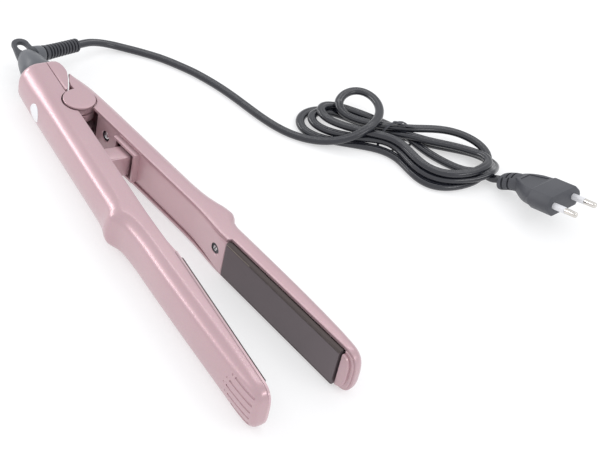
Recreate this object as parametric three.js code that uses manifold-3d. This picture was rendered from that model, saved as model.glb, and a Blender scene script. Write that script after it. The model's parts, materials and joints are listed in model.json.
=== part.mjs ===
// Flat iron (hair straightener) lying on its side, arms sprung open.
// Millimetres, +Z up.  The hinge axis is the Z axis, the iron rests on z = 0,
// and the cord arm runs along +X with the free arm on its +Y side.
import * as THREE from 'three';
import { mergeVertices } from 'three/addons/utils/BufferGeometryUtils.js';
import Module from 'manifold-3d';

const wasm = await Module();
wasm.setup();

// ---------------------------------------------------------------- driving dimensions
const GAP = 0.3;                 // clearance between pieces that touch
const OPEN_ANGLE = THREE.MathUtils.degToRad(11);
const MID_Z = 15.3;              // height of the arms' middle plane above the rest surface

const ARM_HALF = 14;             // half height of both arms
const WALL = 2;                  // shell wall
const EDGE_R = 3;                // rounding along the shells' outer edges
const TIP_X = 262;               // tip of both arms
const TIP_START = 250;           // where the tip's rounding starts
const TIP_POWER = 2.8;           // squareness of the tip's outline
const CORD_LIP = 4.7;            // shell edge of the cord arm, from the plate plane
const CORD_PLATE_LIP = 3.7;      // the same beside the plate
const FREE_LIP = 3.8;            // shell edge of the free arm
const FREE_PLATE_LIP = 4.4;      // the same beside the plate
const COVER_HALF = ARM_HALF - WALL - GAP;

const REAR_X = -45;              // rear face of the cord arm
const REAR_COVER_END = -12.5;

const DISC_R = 10.4;             // hinge cap discs
const DISC_THICK = 1.7;
const HINGE_CLEAR_R = 11.3;      // round cut-outs of both shells around the hinge
const FREE_KNUCKLE_R = 9.5;
const CORD_KNUCKLE_R = 10.2;
const FREE_KNUCKLE = [9.4, 13.2];
const CORD_KNUCKLE = [3.4, 8.2];
const PIN_R = 2.5;

const PLATE = [151, 251.6];      // heater plates along the arm
const PLATE_FACE = 0.2;          // plate face, from the plane where the plates meet
const PLATE_HALF = 12.5;
const PLATE_STEM_HALF = 10.3;
const PLATE_HEAD = 3.3;          // underside of the plate's head
const PLATE_BACK = 6.4;
const COVER_END = PLATE[0] - 0.6;
const RAMP_START = 116;          // inner covers climb from here to the plates
const RAMP_TOP = 0.9;
const COVER_FACE = 4.9;
const COVER_THICK = 1.8;

const SCREW_X = [24, 141];       // cover screws, from the hinge
const SCREW_HEAD_R = 3;
const WELL_R = 3.7;

const SOCKET = { x0: 38, x1: 57.5, half: 9.2, wall: 1.6, rim: 1.0 };
const TONGUE = { x0: 42, x1: 54, half: 7.6, end: 12.6 };

const SWIVEL_Y = -3.5;           // axis of the swivel, parallel to X
const SWIVEL_R = 11.6;
const STEM_R = 3.8;              // swivel stem through the rear wall
const FLANGE_R = 5;              // its flange inside the wall
const CONTACT_X = [-39.4, -37.2];
const RELIEF_START = new THREE.Vector3(-70.6, 5.2, -0.2);
const RELIEF_END = new THREE.Vector3(-80.5, 36.5, -5);
const NECK_R = 5.3;

const CORD_WIDTH = 5.6;
const CORD_Z = CORD_WIDTH / 2 + 0.05;
// route of the free cord from the strain relief to the hank, on the rest surface
const CORD_ROUTE = [
  [-80.7, 37.1, 10.2], [-82.9, 44.5, 8.9], [-84.4, 53, 6.3], [-83.2, 62, 3.8], [-79, 70.5, CORD_Z],
  [-70, 81.5, CORD_Z], [-51, 97, CORD_Z], [-31, 110, CORD_Z], [-11, 118.5, CORD_Z],
  [8, 124.5, CORD_Z], [24, 130, CORD_Z], [37, 137, CORD_Z], [45, 149.3, CORD_Z],
];
const HANK = { x: 68, y: 206, angle: THREE.MathUtils.degToRad(40), reach: 41, radius: 29, waist: 9, height: 13 };

const TIE = { half: 1.5, thick: 1.2 };
const PLUG = { length: 52, width: 35, height: 13.6, sleeve: 13 };
// the stiff cord holds the plug's pin end up a little
const PLUG_REAR = new THREE.Vector3(126.4, 255.7, 6.7);
const PLUG_TURN = new THREE.Euler(...[2.6, -18.3, 9].map(THREE.MathUtils.degToRad), 'ZYX');
const CORD_END = [[108, 242, 5], [116, 250, 5], [121.2, 254.7, 5.1], [126.1, 255.65, 6.6]];
const PLUG_PIN = { length: 19, radius: 2, spacing: 18.4, sleeve: 10, root: 6 };

// outer outline of each arm in plan: x along the arm, y outward from the plate plane
const CORD_OUTLINE = [
  [-45, 21.5], [-43, 23.2], [60, 23.4], [88, 23.6], [97, 24.8], [103, 25.8], [106, 25],
  [110, 21.8], [116, 19.8], [126, 18.6], [150, 18], [200, 16.2], [240, 14.2], [252, 12.6],
  [258, 10.4], [261.4, 7.2], [TIP_X, 4],
];
const FREE_OUTLINE = [
  [-27.3, 11.9], [-19, 15.6], [-7, 17.1], [21, 17.7], [95, 17.6], [109, 18.3], [119, 20],
  [126, 21.7], [130.5, 21.9], [134, 20.4], [138.5, 17.3], [144, 16.3], [160, 16.1],
  [200, 15.5], [240, 13.6], [252, 12.2], [258, 10], [261.4, 7], [TIP_X, 4],
];
// inner edge of the free arm's pointed tail
const FREE_TAIL = [[-22.3, 7.6], [-18.4, 5], [-14.8, 3.9]];
const INNER_EDGE = -8;           // shells are drawn down to here, then trimmed to their lips

// routes of the leads inside the arms, each in its arm's own directions
const MAINS_LEADS = [[-33, 9, 3], [-32, 14, 6], [-24, 16.4, 8], [-8, 16.6, 10], [8, 16.6, 10], [40, 12, 6], [61, 9.8, 4]];
const HEATER_LEADS_A = [[111, 9.8, 5], [124, 9.6, 5.5], [140, 9.2, 6], [157, 9.9, 6]];
const HEATER_LEADS_B = [[14, 10.5, 9], [34, 12.6, 9.9], [60, 12.6, 9.9], [100, 11, 8], [140, 10.2, 6.5], [157, 9.9, 6]];

// ---------------------------------------------------------------- materials
function material(color, roughness, metalness = 0) {
  return new THREE.MeshStandardMaterial({ color, roughness, metalness });
}
const PINK = () => material(0xcdabb1, 0.38, 0.25);
const PLATE_GREY = () => material(0x5f595d, 0.5, 0.3);
const BLACK_PLASTIC = () => material(0x3a3b40, 0.55);
const SWIVEL_GREY = () => material(0x777a80, 0.35);
const STEEL = () => material(0xc8c8c8, 0.3, 0.9);
const BRASS = () => material(0xb59a5b, 0.35, 0.9);
const WHITE = () => material(0xf2f2f2, 0.5);
const CERAMIC = () => material(0xe9e4da, 0.7);
const POLYIMIDE = () => material(0xc98a2b, 0.4);
const SILICONE = () => material(0xb5482f, 0.8);
const BOARD = () => material(0x2f6b4a, 0.6);
const PVC = () => material(0x45464c, 0.4);

// ---------------------------------------------------------------- geometry helpers
function toSolid(geometry) {
  const plain = geometry.index ? geometry.clone() : geometry;
  plain.deleteAttribute('normal');
  plain.deleteAttribute('uv');
  const merged = mergeVertices(plain, 1e-4);
  return new wasm.Manifold(new wasm.Mesh({
    numProp: 3,
    vertProperties: new Float32Array(merged.attributes.position.array),
    triVerts: new Uint32Array(merged.index.array),
  }));
}

function toGeometry(solid) {
  const mesh = solid.getMesh();
  const geometry = new THREE.BufferGeometry();
  geometry.setAttribute('position', new THREE.BufferAttribute(mesh.vertProperties, 3));
  geometry.setIndex(new THREE.BufferAttribute(mesh.triVerts, 1));
  return geometry;
}

function shapeOf(points) {
  return new THREE.Shape(points.map(([a, b]) => new THREE.Vector2(a, b)));
}

// outline in the XY plane raised from z0 to z1, its rims rounded by edge
function prismZ(points, z0, z1, edge = 0, segments = 2) {
  const geometry = new THREE.ExtrudeGeometry(shapeOf(points), {
    depth: z1 - z0 - 2 * edge, bevelEnabled: edge > 0, bevelThickness: edge,
    bevelSize: edge, bevelOffset: -edge, bevelSegments: segments, curveSegments: 12,
  });
  return toSolid(geometry.translate(0, 0, z0 + edge));
}

// outline of (x, z) points swept from y0 to y1
function prismY(points, y0, y1) {
  const geometry = new THREE.ExtrudeGeometry(shapeOf(points), { depth: y1 - y0, bevelEnabled: false });
  return toSolid(geometry.rotateX(Math.PI / 2).translate(0, y1, 0));
}

// section of (y, z) points swept from x0 to x1
function prismX(points, x0, x1) {
  const geometry = new THREE.ExtrudeGeometry(shapeOf(points), { depth: x1 - x0, bevelEnabled: false });
  const turn = new THREE.Matrix4().set(0, 0, 1, x0, 1, 0, 0, 0, 0, 1, 0, 0, 0, 0, 0, 1);
  return toSolid(geometry.applyMatrix4(turn));
}

function box(x0, x1, y0, y1, z0, z1) {
  const geometry = new THREE.BoxGeometry(x1 - x0, y1 - y0, z1 - z0);
  return toSolid(geometry.translate((x0 + x1) / 2, (y0 + y1) / 2, (z0 + z1) / 2));
}

// cylinder between two heights along one axis, the other two coordinates at (a, b)
function cylinder(axis, radius, a, b, from, to, sides = 24) {
  const geometry = new THREE.CylinderGeometry(radius, radius, to - from, sides);
  const middle = (from + to) / 2;
  if (axis === 'x') geometry.rotateZ(-Math.PI / 2).translate(middle, a, b);
  if (axis === 'y') geometry.translate(a, middle, b);
  if (axis === 'z') geometry.rotateX(Math.PI / 2).translate(a, b, middle);
  return toSolid(geometry);
}

// body turned about the X axis through (y, z): profile of [x, radius] ending on the axis
function turnedX(profile, y = 0, z = 0, sides = 28) {
  const points = profile.map(([x, radius]) => new THREE.Vector2(radius, x));
  return new THREE.LatheGeometry(points, sides).rotateZ(-Math.PI / 2).translate(0, y, z);
}

function tube(points, radius, steps, sides = 8) {
  const section = new THREE.Shape();
  section.absarc(0, 0, radius, 0, 2 * Math.PI);
  const path = points instanceof THREE.Curve
    ? points : new THREE.CatmullRomCurve3(points.map((p) => new THREE.Vector3(...p)), false, 'centripetal');
  return new THREE.ExtrudeGeometry(section, { steps, curveSegments: sides, extrudePath: path, bevelEnabled: false });
}

function mesh(name, shape, look) {
  const geometry = shape.isBufferGeometry ? shape : toGeometry(shape);
  const piece = new THREE.Mesh(geometry, look);
  piece.name = name;
  return piece;
}

// ---------------------------------------------------------------- frames
const flatIron = new THREE.Group();
const cordArm = new THREE.Group();      // x along the arm, y outward
cordArm.rotation.x = Math.PI;
cordArm.position.z = MID_Z;
const freeArm = new THREE.Group();
freeArm.rotation.z = OPEN_ANGLE;
freeArm.position.z = MID_Z;
const swivel = new THREE.Group();       // world directions, raised to the arms' middle plane
swivel.position.z = MID_Z;
flatIron.add(cordArm, freeArm, swivel);

// ---------------------------------------------------------------- shapes shared by both arms
// outline seen square on: straight sides and a squarish round tip
function sideOutline(xStart, half, tip = TIP_X, start = TIP_START, steps = 12) {
  const points = [[xStart, -half]];
  for (let i = 0; i <= steps; i += 1) {
    const turn = -Math.PI / 2 + (Math.PI * i) / steps;
    const c = Math.abs(Math.cos(turn)) ** (2 / TIP_POWER);
    const s = Math.sign(turn) * Math.abs(Math.sin(turn)) ** (2 / TIP_POWER);
    points.push([start + (tip - start) * c, half * s]);
  }
  points.push([xStart, half]);
  return points;
}

function outlineAt(outline, x) {
  const next = outline.findIndex(([px]) => px >= x);
  const [[x0, y0], [x1, y1]] = [outline[next - 1], outline[next]];
  return y0 + ((y1 - y0) * (x - x0)) / (x1 - x0);
}

// end of a side outline, beyond the heater plate
function tipBlock(half, tip, y0, y1) {
  return prismY(sideOutline(TIP_START - 20, half, tip), y0, y1).intersect(box(PLATE[1] + 1.2, tip + 1, y0, y1, -20, 20));
}

function armShell(outline, hollowStart, lip, plateLip, inner) {
  const hollowEnd = 256;
  const body = prismZ([...inner, [TIP_X, INNER_EDGE], ...[...outline].reverse()], -ARM_HALF, ARM_HALF, EDGE_R);
  const ceiling = [hollowStart, ...outline.map(([x]) => x).filter((x) => x > hollowStart && x < hollowEnd), hollowEnd]
    .map((x) => [x, outlineAt(outline, x) - WALL]);
  const hollow = prismZ([[hollowStart, -20], [hollowEnd, -20], ...ceiling.reverse()],
    -ARM_HALF + WALL, ARM_HALF - WALL, 1.5, 1);
  return body
    .intersect(prismY(sideOutline(-70, ARM_HALF), -40, 40))
    .subtract(hollow.intersect(prismY(sideOutline(-70, ARM_HALF - WALL, TIP_X - WALL), -40, 40)))
    .subtract(box(-100, COVER_END, -60, lip, -30, 30))
    .subtract(box(COVER_END - 1, 300, -60, plateLip, -30, 30))
    .subtract(cylinder('z', HINGE_CLEAR_R, 0, 0, -20, 20, 40));
}

function boss(x, y0, y1, z = 0) {
  return cylinder('y', 3.2, x, z, y0, y1, 16).subtract(cylinder('y', 1.5, x, z, y0 - 1, y1 - 1.5, 12));
}

function knuckle(radius, [z0, z1], reach) {
  const ring = (a, b) => cylinder('z', radius, 0, 0, a, b, 36)
    .add(box(-6, 6, 4, reach, a, b));
  return ring(z0, z1).add(ring(-z1, -z0));
}

// inner cover: flat behind the handle, climbing to the heater plate
function coverSlab(x0, face) {
  const back = face + COVER_THICK;
  return prismZ([
    [x0, face], [RAMP_START, face], [COVER_END - 5, RAMP_TOP], [COVER_END, RAMP_TOP],
    [COVER_END, RAMP_TOP + COVER_THICK], [COVER_END - 5, RAMP_TOP + COVER_THICK], [RAMP_START, back], [x0, back],
  ], -COVER_HALF, COVER_HALF);
}

function screwWell(x, face) {
  return {
    collar: cylinder('y', WELL_R + 1.2, x, 0, face, face + 3.4, 20),
    well: cylinder('y', WELL_R, x, 0, face - 4, face + 1.9, 20).add(cylinder('y', 1.7, x, 0, face - 4, face + 9, 12)),
  };
}

function faceAt(x) {
  const climb = (x - RAMP_START) / (COVER_END - 5 - RAMP_START);
  return COVER_FACE + (RAMP_TOP - COVER_FACE) * Math.min(Math.max(climb, 0), 1);
}

function coverScrew(name, x, y) {
  const head = turnedX([[0, 0], [0, SCREW_HEAD_R - 0.6], [0.7, SCREW_HEAD_R], [1.2, SCREW_HEAD_R], [1.2, 1.35],
    [7.6, 1.35], [8.4, 0]], 0, 0, 16);
  const slot = box(-0.5, 0.6, -0.45, 0.45, -1.9, 1.9).add(box(-0.5, 0.6, -1.9, 1.9, -0.45, 0.45));
  const piece = mesh(name, toSolid(head).subtract(slot), STEEL());
  piece.rotation.z = Math.PI / 2;
  piece.position.set(x, y, 0);
  return piece;
}

// aluminium heater plate with a channel for the heater on its back
function heaterPlate(name) {
  const edge = 0.8;
  const section = [
    [PLATE_FACE, -PLATE_HALF + edge], [PLATE_FACE, PLATE_HALF - edge], [PLATE_FACE + edge, PLATE_HALF],
    [PLATE_HEAD, PLATE_HALF], [PLATE_HEAD, PLATE_STEM_HALF], [PLATE_BACK, PLATE_STEM_HALF],
    [PLATE_BACK, PLATE_STEM_HALF - 1.5], [PLATE_HEAD - 0.8, PLATE_STEM_HALF - 1.5],
    [PLATE_HEAD - 0.8, -PLATE_STEM_HALF + 1.5], [PLATE_BACK, -PLATE_STEM_HALF + 1.5],
    [PLATE_BACK, -PLATE_STEM_HALF], [PLATE_HEAD, -PLATE_STEM_HALF], [PLATE_HEAD, -PLATE_HALF],
    [PLATE_FACE + edge, -PLATE_HALF],
  ];
  return mesh(name, prismX(section, ...PLATE), PLATE_GREY());
}

function heaterStack(arm, suffix) {
  const floor = PLATE_HEAD - 0.8 + GAP;
  const heater = box(PLATE[0] + 6, PLATE[1] - 6, floor + 0.6, floor + 2.6, -6.5, 6.5);
  const film = box(PLATE[0] + 3, PLATE[1] - 3, floor, floor + 0.3, -8.2, 8.2);
  const carrier = prismX([
    [PLATE_BACK + GAP, -PLATE_STEM_HALF], [PLATE_BACK + GAP, PLATE_STEM_HALF],
    [PLATE_BACK + GAP + 1.5, PLATE_STEM_HALF], [PLATE_BACK + GAP + 1.5, -PLATE_STEM_HALF],
  ], PLATE[0] + 2, PLATE[1] - 12);
  arm.add(
    heaterPlate(`heater_plate_${suffix}`),
    mesh(`heater_element_${suffix}`, heater, CERAMIC()),
    mesh(`insulating_film_${suffix}`, film, POLYIMIDE()),
    mesh(`plate_carrier_${suffix}`, carrier, BLACK_PLASTIC()),
    mesh(`thermal_fuse_${suffix}`, cylinder('x', 1.2, PLATE_BACK + GAP + 3.2, 6, PLATE[0] + 8, PLATE[0] + 18, 12), STEEL()),
  );
}

// ---------------------------------------------------------------- cord arm
function cordArmShell() {
  const screwBosses = SCREW_X.map((x) => boss(x, faceAt(x) + 3.4 + GAP, 22 - (x > 100 ? 5.2 : 0)));
  let shell = armShell(CORD_OUTLINE, REAR_X + 3, CORD_LIP, CORD_PLATE_LIP, [[REAR_X, INNER_EDGE]])
    .add(knuckle(CORD_KNUCKLE_R, CORD_KNUCKLE, 22))
    .subtract(cylinder('z', PIN_R + GAP, 0, 0, -20, 20))
    .add(boss(-26, CORD_LIP + GAP, 22));
  screwBosses.forEach((piece) => { shell = shell.add(piece); });
  return shell
    .subtract(cylinder('x', STEM_R + GAP, -SWIVEL_Y, 0, REAR_X - 1, REAR_X + 6))
    .subtract(cylinder('x', FLANGE_R + 0.6, -SWIVEL_Y, 0, REAR_X + 3, REAR_X + 12));
}

function cordArmCover() {
  const wells = SCREW_X.map((x) => screwWell(x, faceAt(x)));
  const rim = { outer: ARM_HALF - 0.5, inner: PLATE_HALF + GAP };
  const frame = prismY(sideOutline(COVER_END - 3, rim.outer, TIP_X - 3.2), 1.2, CORD_PLATE_LIP - GAP)
    .subtract(box(PLATE[0] - GAP, PLATE[1] + GAP, -1, 8, -rim.inner, rim.inner));
  const tipLand = tipBlock(rim.outer - 1.4, TIP_X - 4.6, 0.6, CORD_PLATE_LIP - GAP);
  const tongue = box(TONGUE.x0, TONGUE.x1, -TONGUE.end, COVER_FACE + 1, -TONGUE.half, TONGUE.half);
  let cover = coverSlab(14, COVER_FACE).add(frame).add(tipLand).add(tongue);
  wells.forEach(({ collar, well }) => { cover = cover.add(collar).subtract(well); });
  return cover;
}

function rearCover() {
  const outline = [[REAR_X, CORD_LIP - GAP], [REAR_X, 1], [-40, -3.6], [-31.5, -4.1], [-25.5, -2.5], [-15.8, 1.1],
    [REAR_COVER_END, 3], [REAR_COVER_END, CORD_LIP - GAP]];
  const hollow = [[REAR_X + 3, 8], [REAR_X + 3, 1], [-31, -1.6], [-19, 2.6], [-19, 8]];
  const well = cylinder('y', WELL_R, -26, 0, -9, -0.2, 20).add(cylinder('y', 1.7, -26, 0, -9, 9, 12));
  const block = prismZ(outline.reverse(), -ARM_HALF + 0.4, ARM_HALF - 0.4);
  return block
    .subtract(prismZ(hollow, -ARM_HALF + 2.4, ARM_HALF - 2.4))
    .add(cylinder('y', WELL_R + 1.2, -26, 0, -6, CORD_LIP - GAP, 20).intersect(block))
    .subtract(well)
    .subtract(cylinder('x', STEM_R + GAP, -SWIVEL_Y, 0, REAR_X - 1, REAR_X + 6))
    .subtract(cylinder('x', FLANGE_R + 0.6, -SWIVEL_Y, 0, REAR_X + 3, REAR_X + 12))
    .subtract(cylinder('z', HINGE_CLEAR_R, 0, 0, -20, 20, 40));
}

cordArm.add(
  mesh('cord_arm_shell', cordArmShell(), PINK()),
  mesh('cord_arm_cover', cordArmCover(), PINK()),
  mesh('rear_cover', rearCover(), PINK()),
  mesh('badge_disc', cylinder('y', 6.2, -18.5, 0, 23.5 + GAP, 24.3, 28), WHITE()),
  mesh('control_board', box(62, 110, 9, 10.6, -10, 10), BOARD()),
  mesh('board_capacitor', cylinder('y', 3.4, 76, 3, 10.6 + GAP, 17, 16), BLACK_PLASTIC()),
  mesh('mains_leads', tube(MAINS_LEADS, 1.1, 26), PVC()),
  mesh('heater_leads_a', tube(HEATER_LEADS_A, 0.9, 14), PVC()),
);
heaterStack(cordArm, 'a');
SCREW_X.forEach((x, i) => cordArm.add(coverScrew(`cover_screw_a_${i + 1}`, x, faceAt(x) + 0.6)));
cordArm.add(coverScrew('rear_cover_screw', -26, -1.5));
CONTACT_X.forEach((x, i) => cordArm.add(mesh(`contact_brush_${i + 1}`,
  box(x, x + 1.5, -SWIVEL_Y + FLANGE_R - 0.3, -SWIVEL_Y + FLANGE_R + 0.7, -3, 3), BRASS())));

// ---------------------------------------------------------------- hinge
function hingeDisc(name, side) {
  const profile = [[0, 0], [0, DISC_R - 0.3], [0.3, DISC_R], [DISC_THICK - 0.5, DISC_R], [DISC_THICK, DISC_R - 0.5],
    [DISC_THICK, 0]];
  const disc = mesh(name, turnedX(profile, 0, 0, 40), PINK());
  disc.rotation.y = -side * Math.PI / 2;
  disc.position.z = MID_Z + side * (MID_Z - DISC_THICK);
  return disc;
}

class SpringCurve extends THREE.Curve {
  getPoint(t) {
    const turns = 3.4;
    const radius = 4.6;
    const coil = Math.min(Math.max((t - 0.12) / 0.76, 0), 1);
    const angle = -Math.PI / 2 + 2 * Math.PI * turns * coil;
    const reach = radius + 42 * Math.max(0.12 - t, t - 0.88, 0);
    return new THREE.Vector3(Math.cos(angle) * reach, Math.sin(angle) * reach, -2.1 + 4.2 * coil);
  }
}

const spring = mesh('hinge_spring', tube(new SpringCurve(), 0.55, 60, 6), STEEL());
spring.position.z = MID_Z;
const pin = mesh('hinge_pin', cylinder('z', PIN_R, 0, 0, DISC_THICK + GAP, 2 * MID_Z - DISC_THICK - GAP, 20), STEEL());
for (const [name, side] of [['hinge_washer_top', 1], ['hinge_washer_bottom', -1]]) {
  const middle = side * (CORD_KNUCKLE[1] + FREE_KNUCKLE[0]) / 2;
  const washer = cylinder('z', 6, 0, 0, middle - 0.3, middle + 0.3).subtract(cylinder('z', PIN_R + GAP, 0, 0, -20, 20));
  const piece = mesh(name, washer, WHITE());
  piece.position.z = MID_Z;
  flatIron.add(piece);
}
flatIron.add(hingeDisc('hinge_disc_top', 1), hingeDisc('hinge_disc_bottom', -1), pin, spring);

// ---------------------------------------------------------------- free arm
function freeArmShell() {
  let shell = armShell(FREE_OUTLINE, -14, FREE_LIP, FREE_PLATE_LIP, [...FREE_TAIL, [-13.6, INNER_EDGE]])
    .add(knuckle(FREE_KNUCKLE_R, FREE_KNUCKLE, 16.4))
    .subtract(cylinder('z', PIN_R + GAP, 0, 0, -20, 20));
  SCREW_X.forEach((x) => { shell = shell.add(boss(x, faceAt(x) + 3.4 + GAP, x > 100 ? 15.6 : 16.4)); });
  return shell;
}

function freeArmCover() {
  const { x0, x1, half, wall, rim } = SOCKET;
  const socket = box(x0, x1 + wall, rim, COVER_FACE + 0.5, -half - wall, half + wall)
    .subtract(box(x0 - 1, x1, rim - 1, COVER_FACE + 3, -half, half));
  let cover = coverSlab(14, COVER_FACE)
    .subtract(box(x0, x1, 0, 12, -half, half))
    .add(socket);
  SCREW_X.map((x) => screwWell(x, faceAt(x))).forEach(({ collar, well }) => {
    cover = cover.add(collar).subtract(well);
  });
  return cover;
}

function tipInsert() {
  const land = tipBlock(ARM_HALF - 1.8, TIP_X - 3.4, 1, FREE_PLATE_LIP - GAP);
  const foot = tipBlock(ARM_HALF - WALL - 1.2, TIP_X - WALL - 4, FREE_PLATE_LIP - 1, 8);
  return land.add(foot.intersect(box(PLATE[1], TIP_X - 6.5, 0, 9, -20, 20)));
}

const padOutline = (x) => box(x - 6, x + 6, PLATE_BACK + 2 * GAP + 1.5, 11, -4, 4);
freeArm.add(
  mesh('free_arm_shell', freeArmShell(), PINK()),
  mesh('free_arm_cover', freeArmCover(), PINK()),
  mesh('tip_insert', tipInsert(), PINK()),
  mesh('heater_leads_b', tube(HEATER_LEADS_B, 0.9, 26), PVC()),
  mesh('silicone_pad_1', padOutline(176), SILICONE()),
  mesh('silicone_pad_2', padOutline(222), SILICONE()),
);
heaterStack(freeArm, 'b');
SCREW_X.forEach((x, i) => freeArm.add(coverScrew(`cover_screw_b_${i + 1}`, x, faceAt(x) + 0.6)));

// ---------------------------------------------------------------- cord swivel
const reliefDirection = RELIEF_END.clone().sub(RELIEF_START).normalize();

// round bar along the strain relief's axis, its ends measured from where the relief starts
function reliefBar(radius, from, to) {
  const [a, b] = [from, to].map((reach) => RELIEF_START.clone().addScaledVector(reliefDirection, reach));
  return toSolid(tube(new THREE.LineCurve3(a, b), radius, 1, 20));
}

function swivelCap() {
  const cap = toSolid(turnedX([
    [-73.4, 0], [-73, 3.6], [-71.4, 6.8], [-68.6, 9.6], [-65, 11.2], [-60.5, SWIVEL_R], [-54, SWIVEL_R], [-48.5, 11.2],
    [REAR_X - GAP - 0.4, 10.6], [REAR_X - GAP - 0.4, STEM_R], [-41.6, STEM_R], [-41.6, 0],
  ], SWIVEL_Y));
  return cap.add(reliefBar(NECK_R, -8.8, 0)).subtract(reliefBar(NECK_R + GAP, 0, 12));
}

function hangingLoop() {
  const reach = [-66, -88.5];
  const y = SWIVEL_Y - 2.2;
  const outline = new THREE.Shape();
  outline.moveTo(reach[0], y + 8);
  outline.lineTo(reach[1] + 8, y + 5.8);
  outline.absarc(reach[1] + 6, y, 6, Math.PI * 0.46, Math.PI * 1.54, false);
  outline.lineTo(reach[0], y - 8);
  const hole = new THREE.Path();
  hole.absellipse(-79.6, y, 5, 3, 0, 2 * Math.PI, false);
  outline.holes.push(hole);
  const plate = toSolid(new THREE.ExtrudeGeometry(outline, { depth: 3, bevelEnabled: false, curveSegments: 14 })
    .translate(0, 0, -1.5));
  const room = toSolid(turnedX([
    [-74, 0], [-73.4, 3.8], [-71.8, 7.2], [-68.8, 10], [-65, 11.6], [-60.5, SWIVEL_R + GAP], [-50, SWIVEL_R + GAP], [-50, 0],
  ], SWIVEL_Y));
  return plate.subtract(room).subtract(reliefBar(NECK_R + GAP, -8.8, 12));
}

function strainRelief() {
  const length = RELIEF_START.distanceTo(RELIEF_END);
  const ribs = 10;
  const collar = 7;
  const pitch = (length - collar) / ribs;
  const profile = [[0, 0], [0, 5.1], [collar - 1, 5]];
  for (let i = 0; i < ribs; i += 1) {
    const x = collar + i * pitch;
    const radius = 5 - 0.08 * i;
    profile.push([x, radius - 0.9], [x + pitch * 0.4, radius - 0.9], [x + pitch * 0.45, radius], [x + pitch * 0.95, radius]);
  }
  profile.push([length, 3.6], [length, 0]);
  const relief = mesh('strain_relief', turnedX(profile, 0, 0, 18), BLACK_PLASTIC());
  relief.quaternion.setFromUnitVectors(new THREE.Vector3(1, 0, 0), reliefDirection);
  relief.position.copy(RELIEF_START).addScaledVector(reliefDirection, GAP);
  return relief;
}

function contactRing(name, x) {
  return mesh(name, cylinder('x', FLANGE_R - 0.6, SWIVEL_Y, 0, x, x + 1.6, 24), BRASS());
}
swivel.add(
  mesh('swivel_cap', swivelCap(), SWIVEL_GREY()),
  mesh('hanging_loop', hangingLoop(), BLACK_PLASTIC()),
  strainRelief(),
  mesh('swivel_retainer', cylinder('x', FLANGE_R, SWIVEL_Y, 0, -41.3, -39.8), BLACK_PLASTIC()),
  contactRing('contact_ring_1', CONTACT_X[0]),
  contactRing('contact_ring_2', CONTACT_X[1]),
);

// ---------------------------------------------------------------- cord, hank, tie and plug
function hankOutline() {
  const { reach, radius, waist } = HANK;
  const shape = new THREE.Shape();
  const open = 0.62;
  shape.absarc(reach, 0, radius, -Math.PI + open, Math.PI - open, false);
  shape.quadraticCurveTo(8, waist, 0, waist);
  shape.quadraticCurveTo(-8, waist, -reach + radius * Math.cos(open), radius * Math.sin(open));
  shape.absarc(-reach, 0, radius, open, 2 * Math.PI - open, false);
  shape.quadraticCurveTo(-8, -waist, 0, -waist);
  shape.closePath();
  return shape;
}
const bundle = new THREE.Group();       // x along the hank, from its tie
bundle.position.set(HANK.x, HANK.y, 0.05);
bundle.rotation.z = HANK.angle;

// band around the hank's waist: its outer and inner limits across and in height
function band(length, out, top, inset) {
  return box(-length, length, -out, out, 0.1, top)
    .subtract(box(-length - 1, length + 1, -out + inset, out - inset, 0.1 + inset, top - inset));
}

function cordHank() {
  const solid = toSolid(new THREE.ExtrudeGeometry(hankOutline(),
    { depth: HANK.height, bevelEnabled: false, curveSegments: 16 }));
  bundle.updateMatrixWorld();
  const end = CORD_END.map((p) => bundle.worldToLocal(new THREE.Vector3(...p)).toArray());
  return solid.subtract(band(TIE.half + GAP, HANK.waist + 2, HANK.height + 1, 3.6))
    .add(toSolid(tube(end, CORD_WIDTH / 2, 10)));
}

function tieBand() {
  const loop = band(TIE.half, HANK.waist - 0.2, HANK.height, TIE.thick);
  const tails = box(-TIE.half, TIE.half, -HANK.waist - 7, -HANK.waist + 1, HANK.height - 3, HANK.height - 1.6);
  return loop.add(tails);
}
bundle.add(mesh('cord_hank', cordHank(), PVC()), mesh('cord_tie', tieBand(), BLACK_PLASTIC()));

function plugBody() {
  const { length, width, height, sleeve } = PLUG;
  const half = width / 2;
  const side = [[sleeve - 1, 6], [sleeve + 4, 8], [sleeve + 17, half - 1], [sleeve + 20, half], [length, half]];
  const shell = prismZ([...side, ...side.map(([x, y]) => [x, -y]).reverse()], 0, height, 2.8, 1);
  let relief = prismZ([[0, -4.4], [sleeve, -5.4], [sleeve, 5.4], [0, 4.4]], 2.4, height - 2.4, 1.6);
  [3.2, 7.4].forEach((x) => {
    relief = relief.subtract(box(x, x + 1.4, 3.4, 9, 0, 20)).subtract(box(x, x + 1.4, -9, -3.4, 0, 20));
  });
  let body = shell.add(relief);
  [-1, 1].forEach((hand) => {
    const y = (hand * PLUG_PIN.spacing) / 2;
    body = body.subtract(cylinder('x', 1.7, y, height / 2, length - PLUG_PIN.root, length + 1, 16));
  });
  return body;
}

function plugPin(name, y) {
  const { length: reach, radius, sleeve, root } = PLUG_PIN;
  const step = PLUG.length + sleeve + 2 * GAP;
  const end = PLUG.length + reach;
  return mesh(name, turnedX([
    [PLUG.length - root + GAP, 0], [PLUG.length - root + GAP, 1.3], [step, 1.3], [step, radius],
    [end - 1.6, radius], [end - 0.5, radius - 0.8], [end, 0],
  ], y, PLUG.height / 2, 16), STEEL());
}

function pinSleeve(name, y) {
  const from = PLUG.length + GAP;
  const ring = cylinder('x', PLUG_PIN.radius + 0.2, y, PLUG.height / 2, from, from + PLUG_PIN.sleeve, 18)
    .subtract(cylinder('x', 1.6, y, PLUG.height / 2, from - 1, from + PLUG_PIN.sleeve + 1, 16));
  return mesh(name, ring, WHITE());
}

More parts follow.
